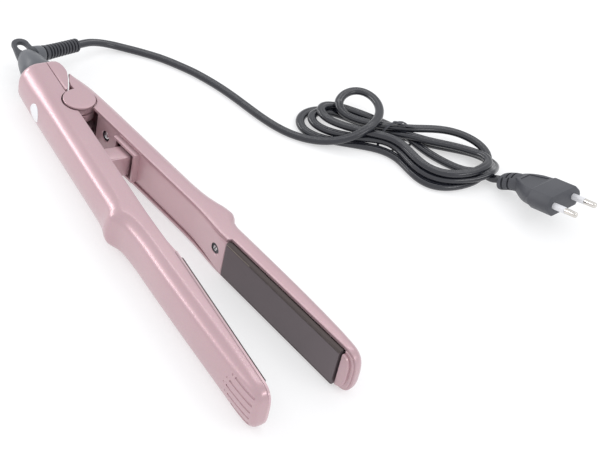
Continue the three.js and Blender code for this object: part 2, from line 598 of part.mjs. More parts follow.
const plug = new THREE.Group();         // x from the cord's end of the plug to its pins
plug.rotation.copy(PLUG_TURN);
plug.position.copy(PLUG_REAR).sub(new THREE.Vector3(0, 0, PLUG.height / 2).applyEuler(PLUG_TURN));
plug.add(mesh('plug_body', plugBody(), BLACK_PLASTIC()));
[-1, 1].forEach((side, i) => {
  const y = (side * PLUG_PIN.spacing) / 2;
  plug.add(plugPin(`plug_pin_${i + 1}`, y), pinSleeve(`pin_sleeve_${i + 1}`, y));
});

flatIron.add(mesh('cord_lead', tube(CORD_ROUTE, CORD_WIDTH / 2, 26), PVC()), bundle, plug);

export default flatIron;
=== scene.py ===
"""Flat iron on its side, arms open, cord in a tied hank: the looks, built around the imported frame."""

import json
import math

import bmesh
import bpy
import numpy as np
from mathutils import Matrix, Vector


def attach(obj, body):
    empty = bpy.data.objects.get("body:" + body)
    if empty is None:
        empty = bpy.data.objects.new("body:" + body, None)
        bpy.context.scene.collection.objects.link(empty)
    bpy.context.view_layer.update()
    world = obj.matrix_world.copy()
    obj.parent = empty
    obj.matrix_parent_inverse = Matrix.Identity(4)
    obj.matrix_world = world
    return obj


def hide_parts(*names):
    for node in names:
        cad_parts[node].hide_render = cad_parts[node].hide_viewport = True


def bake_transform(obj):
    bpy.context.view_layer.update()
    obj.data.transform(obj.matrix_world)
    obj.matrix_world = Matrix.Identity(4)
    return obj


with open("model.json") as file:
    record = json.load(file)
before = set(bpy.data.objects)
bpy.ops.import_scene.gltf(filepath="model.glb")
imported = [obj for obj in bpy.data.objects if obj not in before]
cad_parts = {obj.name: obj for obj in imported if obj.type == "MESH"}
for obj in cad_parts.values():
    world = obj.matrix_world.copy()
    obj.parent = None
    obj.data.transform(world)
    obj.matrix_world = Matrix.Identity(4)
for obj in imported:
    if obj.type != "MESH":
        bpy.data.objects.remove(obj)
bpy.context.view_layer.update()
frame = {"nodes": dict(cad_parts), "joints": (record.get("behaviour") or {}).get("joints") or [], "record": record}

MM = 0.001
PIVOT = next(j for j in frame["joints"] if j["name"] == "arm_pivot")
MID_Z = PIVOT["pos_m"][2] / MM  # height of the arms' middle plane
OPEN_ANGLE = math.radians(PIVOT["range_deg"][1])
GAP = 0.3
ARM_HALF = 14.0
WALL = 2.0
TIP_X, TIP_START, TIP_POWER = 263.2, 250.0, 3.1
REAR_X, REAR_REACH, REAR_POWER = -45.0, 8, 7  # rear end: its length, and how square
FREE_REAR_X, FREE_REAR_REACH, FREE_REAR_POWER = -27.3, 4, 6
WIDEN_FROM, WIDEN_OVER, WIDEN_BY, WIDEN_DROP = 100, 162, 0.058, 0.38
HINGE_CLEAR_R = 11.3
SWIVEL_Y = -3.5

# ---- camera
CAMERA_AT = Vector((689.4, -349.0, 603.8)) * MM
CAMERA_AZIMUTH, CAMERA_ELEVATION, CAMERA_ROLL = (math.radians(a) for a in (-51.685, 39.81, 13.73))
CAMERA_LENS, SENSOR_WIDTH = 90.57, 36.0


def make_camera():
    tilt = Matrix(((1, 0, 0),
            (0, math.sin(CAMERA_ELEVATION), math.cos(CAMERA_ELEVATION)),
            (0, -math.cos(CAMERA_ELEVATION), math.sin(CAMERA_ELEVATION))))
    axes = Matrix.Rotation(-CAMERA_ROLL, 3, "Z") @ tilt @ Matrix.Rotation(CAMERA_AZIMUTH, 3, "Z")
    data = bpy.data.cameras.new("camera")
    data.lens, data.sensor_width = CAMERA_LENS, SENSOR_WIDTH
    data.clip_start, data.clip_end = 0.05, 50.0
    camera = bpy.data.objects.new("camera", data)
    camera.matrix_world = Matrix.Translation(CAMERA_AT) @ axes.transposed().to_4x4()
    bpy.context.scene.collection.objects.link(camera)
    bpy.context.scene.camera = camera


make_camera()


# ---- mesh helpers (millimetres in, metres out)
def smooth_curve(knots):
    """Function through (x, y) knots with no overshoot between them."""
    x = np.array([k[0] for k in knots], float)
    y = np.array([k[1] for k in knots], float)
    h, slope = np.diff(x), np.diff(y) / np.diff(x)
    tangent = np.zeros(len(x))
    for i in range(1, len(x) - 1):
        if slope[i - 1] * slope[i] > 0:
            w1, w2 = 2 * h[i] + h[i - 1], h[i] + 2 * h[i - 1]
            tangent[i] = (w1 + w2) / (w1 / slope[i - 1] + w2 / slope[i])
    tangent[0], tangent[-1] = slope[0], slope[-1]

    def value(at):
        at = min(max(at, x[0]), x[-1])
        i = min(max(int(np.searchsorted(x, at)) - 1, 0), len(h) - 1)
        t = (at - x[i]) / h[i]
        return float((1 + 2 * t) * (1 - t) ** 2 * y[i] + t * (1 - t) ** 2 * h[i] * tangent[i]
                     + t * t * (3 - 2 * t) * y[i + 1] - t * t * (1 - t) * h[i] * tangent[i + 1])
    return value


def new_piece(name, points, faces, matrix=None, sharp=30):
    """Mesh object from points in millimetres, moved by matrix (millimetres), its faces pointing out."""
    mesh = bpy.data.meshes.new(name)
    mesh.from_pydata([tuple(p) for p in points], [], faces)
    bm = bmesh.new()
    bm.from_mesh(mesh)
    bmesh.ops.remove_doubles(bm, verts=bm.verts, dist=0.002)
    bmesh.ops.dissolve_degenerate(bm, edges=bm.edges, dist=0.0005)
    bmesh.ops.recalc_face_normals(bm, faces=bm.faces)
    bm.to_mesh(mesh)
    bm.free()
    mesh.transform(Matrix.Diagonal((MM, MM, MM, 1)) @ (matrix or Matrix.Identity(4)))
    piece = bpy.data.objects.new(name, mesh)
    bpy.context.scene.collection.objects.link(piece)
    shade(piece, sharp)
    return piece


def shade(piece, sharp=30):
    mesh = piece.data
    mesh.polygons.foreach_set("use_smooth", [True] * len(mesh.polygons))
    mesh.set_sharp_from_angle(angle=math.radians(sharp))
    mesh.update()


BEVEL_SHARP = 40


def bake(piece, sharp=30):
    """Applies the piece's modifiers."""
    graph = bpy.context.evaluated_depsgraph_get()
    mesh = bpy.data.meshes.new_from_object(piece.evaluated_get(graph))
    piece.modifiers.clear()
    piece.data = mesh
    shade(piece, sharp)
    return piece


def combine(piece, other, operation="DIFFERENCE", sharp=30):
    """Cuts or joins piece with other, which is used up."""
    modifier = piece.modifiers.new("combine", "BOOLEAN")
    modifier.operation, modifier.solver, modifier.object = operation, "EXACT", other
    bake(piece, sharp)
    bpy.data.objects.remove(other)
    return piece


def bevel(piece, width, segments=2, angle=30):
    modifier = piece.modifiers.new("bevel", "BEVEL")
    modifier.width, modifier.segments = width * MM, segments
    modifier.limit_method, modifier.angle_limit = "ANGLE", math.radians(angle)
    return bake(piece, BEVEL_SHARP)


def strip_faces(rows, columns, closed_rows=False, closed_columns=False):
    faces = []
    for i in range(rows if closed_rows else rows - 1):
        for j in range(columns if closed_columns else columns - 1):
            a, b = i * columns + j, i * columns + (j + 1) % columns
            c, d = ((i + 1) % rows) * columns + (j + 1) % columns, ((i + 1) % rows) * columns + j
            faces.append((a, b, c, d))
    return faces


def capped_faces(rows, columns):
    """Faces of a body made of closed rows of points, with both its ends."""
    last = rows * columns
    ends = [tuple(range(columns)), tuple(range(last - 1, last - columns - 1, -1))]
    return strip_faces(rows, columns, False, True) + ends


def prism(name, outline, low, high, axis="z", matrix=None):
    """Outline of 2-D points swept along an axis; the points are the other two axes in x, y, z order."""
    def place(p, level):
        return {"z": (p[0], p[1], level), "y": (p[0], level, p[1]), "x": (level, p[0], p[1])}[axis]
    n = len(outline)
    points = [place(p, low) for p in outline] + [place(p, high) for p in outline]
    faces = [tuple(range(n)), tuple(range(2 * n - 1, n - 1, -1))]
    faces += [(i, (i + 1) % n, n + (i + 1) % n, n + i) for i in range(n)]
    return new_piece(name, points, faces, matrix)


def block(name, x, y, z, matrix=None):
    return prism(name, [(x[0], y[0]), (x[1], y[0]), (x[1], y[1]), (x[0], y[1])], *z, "z", matrix)


def turned(name, profile, matrix=None, sides=64, sharp=30):
    """Body turned about X: profile of (x, radius), its ends on the axis or closing on itself."""
    points = [(x, r * math.cos(2 * math.pi * i / sides), r * math.sin(2 * math.pi * i / sides))
              for i in range(sides) for x, r in profile]
    closes = profile[0] == profile[-1]
    return new_piece(name, points, strip_faces(sides, len(profile), True, closes), matrix, sharp)


def arc(centre, radius, start, end, steps):
    """Points along an arc, its angles in degrees."""
    return [(centre[0] + radius * math.cos(math.radians(start + (end - start) * i / steps)),
             centre[1] + radius * math.sin(math.radians(start + (end - start) * i / steps)))
            for i in range(steps + 1)]


def circle(centre, radius, steps=48):
    return arc(centre, radius, 0, 360, steps)[:-1]


def along(start, direction):
    """Matrix that lays the X axis along direction from start, with Z kept as near up as it goes."""
    x = Vector(direction).normalized()
    up = Vector((0, 0, 1)) if abs(x.z) < 0.9 else Vector((0, 1, 0))
    y = up.cross(x).normalized()
    z = x.cross(y)
    return Matrix.Translation(Vector(start)) @ Matrix((x, y, z)).transposed().to_4x4()


CORD_ARM = Matrix.Translation((0, 0, MID_Z)) @ Matrix.Rotation(math.pi, 4, "X")
FREE_ARM = Matrix.Translation((0, 0, MID_Z)) @ Matrix.Rotation(OPEN_ANGLE, 4, "Z")
MIDDLE = Matrix.Translation((0, 0, MID_Z))
X_TO_Y = Matrix.Rotation(math.pi / 2, 4, "Z")  # stands a turned body on Y


def reshape(piece, matrix, change):
    """Lets change() edit the place of each vertex, in millimetres in the frame of matrix."""
    back = matrix.inverted()
    for vertex in piece.data.vertices:
        place = back @ (vertex.co / MM)
        change(place)
        vertex.co = (matrix @ place) * MM
    piece.data.update()
    return piece


def paint(piece, matrix, looks, choose):
    """Adds looks, and gives each face the number that choose() names from its middle."""
    for look in looks:
        piece.data.materials.append(look)
    back = matrix.inverted()
    for polygon in piece.data.polygons:
        polygon.material_index = choose(back @ (polygon.center / MM))


def widen(piece, matrix):
    """Arms grow a little taller towards their tips, most of it on the side that rests on the surface."""
    up = 1.0 if matrix is FREE_ARM else -1.0  # the cord arm's own Z points down

    def grow(place):
        share = min(max((place.x - WIDEN_FROM) / WIDEN_OVER, 0.0), 1.0)
        place.z += share * (WIDEN_BY * place.z - WIDEN_DROP * up)
    return reshape(piece, matrix, grow)


def finish_piece(piece, look, body, slot, *nodes):
    piece.data.materials.clear()
    piece.data.materials.append(look)
    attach(piece, body)
    if nodes:
        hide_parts(*nodes)
    return piece


# ---- materials
def nodes_of(name):
    look = bpy.data.materials.new(name)
    look.use_nodes = True
    tree = look.node_tree
    return look, tree, tree.nodes["Principled BSDF"]


def link(tree, a, b):
    tree.links.new(a, b)


def settings(node, **values):
    """Sets inputs of a node; an underscore in a name stands for a space."""
    for name, value in values.items():
        node.inputs[name.replace("_", " ")].default_value = value


def object_place(tree):
    """The piece's own coordinates, from one node that all the textures of a material share."""
    place = tree.nodes.get("place") or tree.nodes.new("ShaderNodeTexCoord")
    place.name = "place"
    return place.outputs["Object"]


def noise(tree, scale, detail=2.0, roughness=0.5):
    texture = tree.nodes.new("ShaderNodeTexNoise")
    settings(texture, Scale=scale, Detail=detail, Roughness=roughness)
    link(tree, object_place(tree), texture.inputs["Vector"])
    return texture.outputs["Fac"]


NOISE_LOW, NOISE_HIGH = 0.3, 0.7  # where most of a noise texture's values lie
COAT_ROUGHNESS = 0.12


def remap(tree, value, low, high):
    node = tree.nodes.new("ShaderNodeMapRange")
    settings(node, From_Min=NOISE_LOW, From_Max=NOISE_HIGH, To_Min=low, To_Max=high)
    link(tree, value, node.inputs["Value"])
    return node.outputs["Result"]


def mixed(tree, factor, a, b):
    node = tree.nodes.new("ShaderNodeMix")
    node.data_type = "RGBA"
    link(tree, factor, node.inputs["Factor"])
    settings(node, A=(*a, 1), B=(*b, 1))
    return node.outputs["Result"]


def bump(tree, shader, height, strength, distance):
    node = tree.nodes.new("ShaderNodeBump")
    settings(node, Strength=strength, Distance=distance)
    link(tree, height, node.inputs["Height"])
    link(tree, node.outputs["Normal"], shader.inputs["Normal"])


def plain_look(name, light, dark, roughness, metallic=0.0, grain=900, depth=0.00002, coat=0.0,
        spread=0.06):
    """Moulded or painted surface: slow colour drift, fine grain in roughness and bump."""
    look, tree, shader = nodes_of(name)
    drift = remap(tree, noise(tree, 35, 3), 0, 1)
    link(tree, mixed(tree, drift, dark, light), shader.inputs["Base Color"])
    fine = noise(tree, grain, 3, 0.6)
    link(tree, remap(tree, fine, roughness - spread, roughness + spread), shader.inputs["Roughness"])
    settings(shader, Metallic=metallic, Coat_Weight=coat, Coat_Roughness=COAT_ROUGHNESS)
    bump(tree, shader, fine, 0.25, depth)
    return look


def pearl_look(name, light, dark, metallic=0.42):
    """Satin pearl paint: metal flakes as small sparkles of lighter colour and a fine bump."""
    look, tree, shader = nodes_of(name)
    flakes = tree.nodes.new("ShaderNodeTexVoronoi")
    settings(flakes, Scale=3200)
    link(tree, object_place(tree), flakes.inputs["Vector"])
    drift = remap(tree, noise(tree, 22, 2), 0, 1)
    base = mixed(tree, drift, dark, light)
    sparkle = tree.nodes.new("ShaderNodeMix")
    sparkle.data_type, sparkle.blend_type = "RGBA", "SOFT_LIGHT"
    settings(sparkle, Factor=0.1)
    link(tree, base, sparkle.inputs["A"])
    link(tree, flakes.outputs["Color"], sparkle.inputs["B"])
    link(tree, sparkle.outputs["Result"], shader.inputs["Base Color"])
    settings(shader, Metallic=metallic, Coat_Weight=0.4, Coat_Roughness=COAT_ROUGHNESS)
    link(tree, remap(tree, noise(tree, 700, 2), 0.29, 0.35), shader.inputs["Roughness"])
    bump(tree, shader, noise(tree, 1500, 2), 0.12, 0.00001)
    return look


def metal_look(name, colour, roughness):
    """Bare metal, a little darker and rougher where it is worn."""
    look, tree, shader = nodes_of(name)
    settings(shader, Metallic=1.0)
    wear = noise(tree, 400, 4)
    worn = [c * 0.86 for c in colour]
    link(tree, mixed(tree, remap(tree, wear, 0, 1), worn, colour), shader.inputs["Base Color"])
    fine = noise(tree, 1200, 2)
    link(tree, remap(tree, fine, roughness * 0.7, roughness * 1.3), shader.inputs["Roughness"])
    bump(tree, shader, wear, 0.1, 0.00001)
    return look


PINK = pearl_look("pearl_pink", (0.545, 0.372, 0.40), (0.52, 0.35, 0.378))
# lighter, less pearly pink for the inner covers: partly their own finish, partly painted light that lifts them out
# of the shade between the arms
PINK_INNER_PAINTED_LIGHT = pearl_look("pearl_pink_inner_painted_light", (0.66, 0.465, 0.495), (0.63, 0.44, 0.47), 0.22)
COATING = plain_look("plate_coating", (0.128, 0.103, 0.112), (0.116, 0.094, 0.102), 0.42, 0.25, grain=1800)
# the plate's bare metal in two copies: lighter on the bevel strip as a painted highlight, much darker on the side
# wall as painted shade
BARE_EDGE_PAINTED_HIGHLIGHT = plain_look("plate_edge_painted_highlight", (0.30, 0.26, 0.21), (0.27, 0.235, 0.19), 0.34, 0.4, grain=1800)
BARE_SIDE_PAINTED_SHADE = plain_look("plate_side_painted_shade", (0.075, 0.058, 0.055), (0.066, 0.05, 0.048), 0.42, 0.4, grain=1800)
SATIN_GREY = plain_look("swivel_plastic", (0.108, 0.113, 0.126), (0.102, 0.107, 0.12), 0.36,
        depth=0.000003, spread=0.02)
BLACK = plain_look("black_plastic", (0.05, 0.052, 0.062), (0.042, 0.043, 0.052), 0.42, grain=1400,
        depth=0.00001)
CORD_PVC = plain_look("cord_pvc", (0.014, 0.015, 0.022), (0.012, 0.013, 0.019), 0.24, grain=700,
        depth=0.000002, coat=0.5, spread=0.02)
PLUG_PVC = plain_look("plug_pvc", (0.072, 0.074, 0.086), (0.06, 0.062, 0.072), 0.5, grain=2600,
        depth=0.00003)
WHITE_NYLON = plain_look("white_nylon", (0.80, 0.80, 0.82), (0.74, 0.74, 0.77), 0.38)
BADGE_WHITE = plain_look("badge_white", (0.86, 0.86, 0.88), (0.80, 0.80, 0.83), 0.22, coat=0.5)
NICKEL = metal_look("nickel", (0.76, 0.73, 0.69), 0.16)
STEEL = metal_look("screw_steel", (0.86, 0.86, 0.87), 0.2)
SPRING_STEEL = metal_look("spring_steel", (0.5, 0.5, 0.5), 0.32)
BRASS = metal_look("brass", (0.72, 0.55, 0.26), 0.3)
CERAMIC = plain_look("heater_ceramic", (0.82, 0.79, 0.72), (0.74, 0.71, 0.65), 0.7)
POLYIMIDE = plain_look("polyimide", (0.62, 0.30, 0.05), (0.52, 0.24, 0.04), 0.25)
SILICONE = plain_look("silicone", (0.50, 0.12, 0.06), (0.42, 0.10, 0.05), 0.6)
BOARD = plain_look("board", (0.03, 0.15, 0.07), (0.02, 0.11, 0.05), 0.35)

SLOT_LOOKS = {
    "pink_shell": PINK, "pink_cover": PINK_INNER_PAINTED_LIGHT, "badge": BADGE_WHITE, "plate_coating": COATING,
    "heater_ceramic": CERAMIC, "polyimide": POLYIMIDE, "black_plastic": BLACK,
    "swivel_plastic": SATIN_GREY, "steel": SPRING_STEEL, "brass": BRASS, "nylon": WHITE_NYLON,
    "board": BOARD, "cord_pvc": CORD_PVC, "plug_pvc": PLUG_PVC, "plug_pin": NICKEL, "silicone": SILICONE,
}
for part in frame["record"]["subparts"]:
    mesh = frame["nodes"][part["node"]].data
    mesh.materials.clear()
    mesh.materials.append(SLOT_LOOKS[part["material_slot"]])

# ---- cord, hank and what is on it
CORD_WIDTH, CORD_THICK = 6.2, 4.1
LOW = 2.1  # height of a strand that lies on the surface
ROUTE_STEP, CORD_STEP, CURVE_STEPS = 2.2, 1.3, 12
RELIEF_START = Vector((-70.6, 5.2, MID_Z - 0.2))
RELIEF_END = Vector((-79.5, 33.4, MID_Z - 4.5))
LEAD = [(-77.5, 27, 11.7), (-79.2, 32.2, 11), (-80.7, 37.1, 10.2), (-82.6, 44.5, 9), (-83.8, 53, 6.5),
        (-82.6, 62, 4), (-78.4, 71, 2.4), (-72.3, 79, LOW), (-62, 89.8, LOW), (-50, 99.2, LOW),
        (-36.3, 108, LOW), (-20, 115.6, LOW), (-2, 121.6, LOW), (16.8, 127, LOW), (31, 132.6, LOW),
        (40.8, 138.4, LOW), (49.2, 147.5, 2.3), (55.1, 155.6, 3.4), (60.4, 164.2, 6.4), (63.1, 173, 10)]
# strands of the hank in the order that the cord runs through them
TOP_LOOP = [(62.4, 182.4, 12.8), (58.3, 192.3, 14), (51.2, 200.7, 14.4), (42.9, 205.2, 14.5),
            (34.3, 206.6, 14.4), (26, 205.6, 14.1), (20, 201, 13.7), (19.6, 192, 13.1), (24, 183, 12.2),
            (29.5, 177.2, 10.8), (36, 177.4, 8.4), (42, 184.5, 6.8), (50, 194, 6.6), (60, 203.5, 8.5)]
RIGHT_1 = [(66, 212, 10.5), (69, 224, 10.5), (73, 237, 10.5), (79, 247.5, 10), (86.9, 253.6, 9.6),
           (96.6, 258.3, 8.6), (105.7, 257.8, 6.6), (113.1, 253, 4), (118.2, 243.6, 2.4),
           (121.1, 229.2, LOW), (120.7, 217.2, LOW), (118.5, 206.5, LOW), (109.9, 199.2, LOW),
           (96.6, 198, LOW), (83.6, 198.2, LOW), (74, 193.7, LOW)]
LEFT_1 = [(67, 184, LOW), (60, 172.5, LOW), (53, 160, LOW), (46, 151.5, LOW), (38, 147.5, LOW),
          (29.5, 149, LOW), (22.5, 155, LOW), (19.5, 164, LOW), (21, 174, LOW), (27.5, 184, LOW),
          (36.5, 192.5, LOW), (47, 199.5, LOW), (58, 206.5, LOW)]
RIGHT_2 = [(67, 215, LOW), (76, 226.5, LOW), (84, 238.5, LOW), (92, 249, 2.7), (99.5, 256.5, 3.7),
           (107.5, 259.5, 4.6), (115.1, 257.5, 5.4), (120, 251, 5.6), (121.7, 241.9, 5.6), (121, 229, 5.6),
           (118.2, 216.1, 5.6), (113.2, 206.5, 5.6), (105.4, 201.9, 5.6), (95.2, 200.4, 5.6),
           (82.8, 201, 5.6), (73.4, 200.4, 5.8), (66.9, 196.3, 6)]
LEFT_2 = [(62.5, 184, 5.6), (55.5, 172, 5.4), (48.5, 162, 5.4), (40.5, 156, 5.4), (32, 155.5, 5.4),
          (26, 160.5, 5.4), (24.5, 168.5, 5.4), (28, 177, 5.4), (36, 184.5, 3.6), (46, 193, 3.4),
          (55.5, 201, 5)]
RIGHT_3 = [(65.5, 208.5, 7), (76, 219.5, 7.4), (84.5, 231.5, 7.6), (91.5, 243.5, 6.8), (99, 252.5, 5.6),
           (108.5, 256, 8.4), (115.5, 251.7, 9.2), (119.3, 244.4, 9.2), (120.1, 236, 9.2),
           (119.4, 224.8, 9.2), (116.6, 215.3, 9.2), (110.6, 207.9, 9.2), (102.4, 203.6, 9.2),
           (92.8, 202.5, 9.2), (81.3, 202.6, 9.2), (71.7, 201.3, 9.4)]
LEFT_3 = [(66, 192, 9.4), (57, 181.5, 9.2), (48.5, 171.5, 9), (40, 164.5, 9), (31.5, 162.5, 9),
          (25.5, 166, 9), (23, 173, 8.6), (25.5, 182, 6.8), (33, 190.5, 5.8), (42.5, 198.5, 5.6),
          (53, 206, 5.6)]
LAST = [(63.5, 212.5, 5.4), (74.5, 216, 4.2), (85.5, 219.5, 3.4), (96, 226, LOW), (106.5, 233, LOW),
        (115, 239.8, LOW), (121.3, 245.8, 3.4), (125.4, 249.7, 5), (128.9, 252.3, 6.4),
        (132.4, 254.2, 7.6)]
ROUTE = LEAD + TOP_LOOP + RIGHT_1 + LEFT_1 + RIGHT_2 + LEFT_2 + RIGHT_3 + LEFT_3 + LAST


def centripetal(points, step):
    """Points a step apart along the smooth curve through points."""
    p = [Vector(q) for q in points]
    p = [2 * p[0] - p[1]] + p + [2 * p[-1] - p[-2]]
    fine = []
    for i in range(1, len(p) - 2):
        a, b, c, d = p[i - 1:i + 3]
        t0, t1 = 0.0, (b - a).length ** 0.5
        t2 = t1 + (c - b).length ** 0.5
        t3 = t2 + (d - c).length ** 0.5
        for k in range(CURVE_STEPS):
            t = t1 + (t2 - t1) * k / CURVE_STEPS
            a1 = a * ((t1 - t) / (t1 - t0)) + b * ((t - t0) / (t1 - t0))
            a2 = b * ((t2 - t) / (t2 - t1)) + c * ((t - t1) / (t2 - t1))
            a3 = c * ((t3 - t) / (t3 - t2)) + d * ((t - t2) / (t3 - t2))
            b1 = a1 * ((t2 - t) / (t2 - t0)) + a2 * ((t - t0) / (t2 - t0))
            b2 = a2 * ((t3 - t) / (t3 - t1)) + a3 * ((t - t1) / (t3 - t1))
            fine.append(b1 * ((t2 - t) / (t2 - t1)) + b2 * ((t - t1) / (t2 - t1)))
    fine.append(p[-2])
    return evenly(np.array([list(v) for v in fine]), step)


def evenly(line, step=None, count=None):
    """Points evenly apart along a line, about a step apart or in count steps."""
    run = np.concatenate([[0], np.cumsum(np.linalg.norm(np.diff(line, axis=0), axis=1))])
    count = count or max(int(round(run[-1] / step)), 2)
    at = np.linspace(0, run[-1], count + 1)
    return np.stack([np.interp(at, run, line[:, k]) for k in range(3)], axis=1)


def twin_section():
    """Flat twin cord: two cores side by side in one jacket, with a shallow groove between them."""
    r = CORD_THICK / 2
    offset = CORD_WIDTH / 2 - r
    right = [(offset + r * math.cos(a), r * math.sin(a)) for a in np.linspace(-1.9, 1.9, 13)]
    groove = r * 0.86
    outline = right + [(0.0, groove)]
    outline += [(-y, z) for y, z in reversed(right)] + [(0.0, -groove)]
    return outline


SWEEP_SHARP = 60


def sweep(name, line, section, matrix=None, up=Vector((0, 0, 1))):
    """Section of (across, up) points carried along a line of points."""
    tangents = np.gradient(line, axis=0)
    points = []
    across = None
    for at, tangent in zip(line, tangents):
        t = Vector(tangent).normalized()
        level = up.cross(t)
        if across is None or level.length > 0.35:
            level.normalize()
            if across is not None and level.dot(across) < 0:
                level = -level
            across = level if across is None else (across * 0.5 + level * 0.5).normalized()
        across = (across - t * across.dot(t)).normalized()
        over = t.cross(across)
        points += [Vector(at) + across * a + over * b for a, b in section]
    return new_piece(name, points, capped_faces(len(line), len(section)), matrix, SWEEP_SHARP)


RELAX_ROUNDS, LEAD_POINTS, END_POINTS = 60, 46, 6  # the points at each end stay put
NEIGHBOURS = 9  # points this near along the cord never push
PUSH, LONGEST_MOVE, SMOOTHING = 0.3, 0.7, 0.25


def relax(line):
    """Lets strands that lie in each other push apart, smooths the curve, and keeps it on the surface."""
    line = line.copy()
    fixed = np.zeros(len(line), bool)
    fixed[:LEAD_POINTS], fixed[-END_POINTS:] = True, True
    want = CORD_THICK * 0.99
    index = np.arange(len(line))
    apart = np.abs(index[:, None] - index[None, :]) > NEIGHBOURS
    flat = np.array([0.72, 0.72, 1.0])  # strands lie flat, so they need more room sideways
    for _ in range(RELAX_ROUNDS):
        difference = (line[:, None, :] - line[None, :, :]) * flat
        distance = np.linalg.norm(difference, axis=2) + 1e-9
        push = np.where(apart & (distance < want), (want - distance) / distance, 0.0)
        move = (difference * push[:, :, None]).sum(axis=1) * PUSH
        size = np.linalg.norm(move, axis=1, keepdims=True)
        move *= np.minimum(1, LONGEST_MOVE / np.maximum(size, 1e-9))
        move[fixed] = 0
        line += move
        middle = (line[:-2] + line[2:]) / 2
        step = (middle - line[1:-1]) * SMOOTHING
        step[fixed[1:-1]] = 0
        line[1:-1] += step
        line[:, 2] = np.where(fixed, line[:, 2], np.maximum(line[:, 2], LOW))
    return line


def make_cord():
    line = evenly(relax(centripetal(ROUTE, ROUTE_STEP)), CORD_STEP)
    cord = sweep("mains_cord", line, twin_section())
    cord.data.materials.append(CORD_PVC)
    exit_at = RELIEF_END * MM
    start = int(np.argmin(np.linalg.norm(line * MM - np.array(exit_at), axis=1)))
    free = line[start:]
    length = float(np.linalg.norm(np.diff(free, axis=0), axis=1).sum()) * MM
    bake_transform(cord)
    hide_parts("cord_lead", "cord_hank")
    return cord, line, length


cord, cord_line, cord_length = make_cord()


# ---- arm shells
def superellipse(reach, half, power, rows):
    """Quarter of a squarish oval from (0, half) to (reach, 0), its points evenly apart."""
    turn = np.linspace(math.pi / 2, 0, 400)
    fine = np.stack([reach * np.abs(np.cos(turn)) ** (2 / power),
            half * np.abs(np.sin(turn)) ** (2 / power), turn * 0], axis=1)
    return [(float(x), float(z)) for x, z, _ in evenly(fine, count=rows)]


REAR_STEPS, TIP_STEPS = 12, 18
CORD_SHOULDER, FREE_SHOULDER = 105, 132


def outline_rows(rear_x, rear_reach, rear_power, stations):
    """Rows (anchor x, offset x, offset z) round an outline, from the rear over +Z to the tip and back."""
    rear = [(rear_x + rear_reach, -x, z) for x, z in reversed(superellipse(rear_reach, ARM_HALF,
            rear_power, REAR_STEPS))]
    sides = [(x, 0.0, ARM_HALF) for x in sorted(stations) if rear_x + rear_reach < x < TIP_START]
    tip = [(TIP_START, x, z) for x, z in superellipse(TIP_X - TIP_START, ARM_HALF, TIP_POWER, TIP_STEPS)]
    half = rear + sides + tip
    return half + [(a, x, -z) for a, x, z in reversed(half[1:-1])]


def shell_mesh(name, rear_x, rear_reach, rear_power, top, crown_radius, edge_radius, lip, stations,
        matrix):
    edge_steps, inner_steps = 9, 7
    points = []
    rows = outline_rows(rear_x, rear_reach, rear_power, stations)

    def surface(x, z):
        radius = crown_radius(x)
        return top(x) - (radius - math.sqrt(max(radius * radius - z * z, 1.0)))

    for anchor, ox, oz in rows:
        reach = math.hypot(ox, oz)
        radius = min(edge_radius(anchor + ox), 0.8 * reach)

        def at(inset):
            keep = 1 - inset / reach
            return anchor + ox * keep, oz * keep

        x_edge, z_edge = at(0)
        radius = max(min(radius, (surface(x_edge, z_edge) - lip(x_edge)) * 0.75), 0.3)
        row = []
        for j in range(inner_steps):
            inset = reach + (radius - reach) * j / inner_steps
            x, z = at(inset)
            row.append((x, surface(x, z), z))
        for k in range(edge_steps, -1, -1):
            turn = math.pi / 2 * k / edge_steps
            inset = radius * (1 - math.cos(turn))
            x, z = at(inset)
            row.append((x, surface(x, z) - radius * (1 - math.sin(turn)), z))
        wall_top, edge = row[-1][1], lip(x_edge)
        for share in (0.4, 0.75):
            row.append((x_edge, wall_top + (edge + 0.45 - wall_top) * share, z_edge))
        row.append((x_edge, edge + 0.45, z_edge))
        for inset, lift in ((0.12, 0.13), (0.45, 0.0), (WALL - 0.15, 0.0), (WALL, 0.15)):
            x, z = at(inset)
            row.append((x, edge + lift, z))
        x, z = at(WALL)
        row.append((x, max(edge + 0.3, surface(x, z) - radius * 0.6 - WALL), z))
        x, z = at(reach)
        row.append((x, max(edge + 0.4, surface(x, z) - WALL), z))
        points += row
    faces = strip_faces(len(rows), len(points) // len(rows), True)
    return new_piece(name, points, faces, matrix, 32)


def stations_for(rear_x, shoulder):
    """Places of the rows along an arm, closer together at its shoulder and rear."""
    coarse = list(np.arange(rear_x, TIP_START, 4.0))
    fine = list(np.arange(shoulder - 16, shoulder + 18, 1.0))
    return sorted(set(np.round([x for x in coarse if not fine[0] <= x <= fine[-1]] + fine, 3)))


PIN_BORE_R = 2.8


def knuckles(name, radius, low, high, reach, matrix):
    """Pair of hinge eyes with the webs that join them to their arm."""
    piece = None
    for z0, z1 in ((low, high), (-high, -low)):
        outline = arc((0, 0), radius, 180, 360, 28) + [(radius, reach), (-radius, reach)]
        eye = prism(name, outline, z0, z1, "z", matrix)
        bore = prism("bore", circle((0, 0), PIN_BORE_R, 32), z0 - 1, z1 + 1, "z", matrix)
        combine(eye, bore)
        if piece is None:
            piece = eye
        else:
            combine(piece, eye, "UNION")
    piece.name = name
    return bevel(piece, 0.35, 2)


def hinge_clearance(matrix):
    return prism("clearance", circle((0, 0), HINGE_CLEAR_R, 96), -20, 20, "z", matrix)


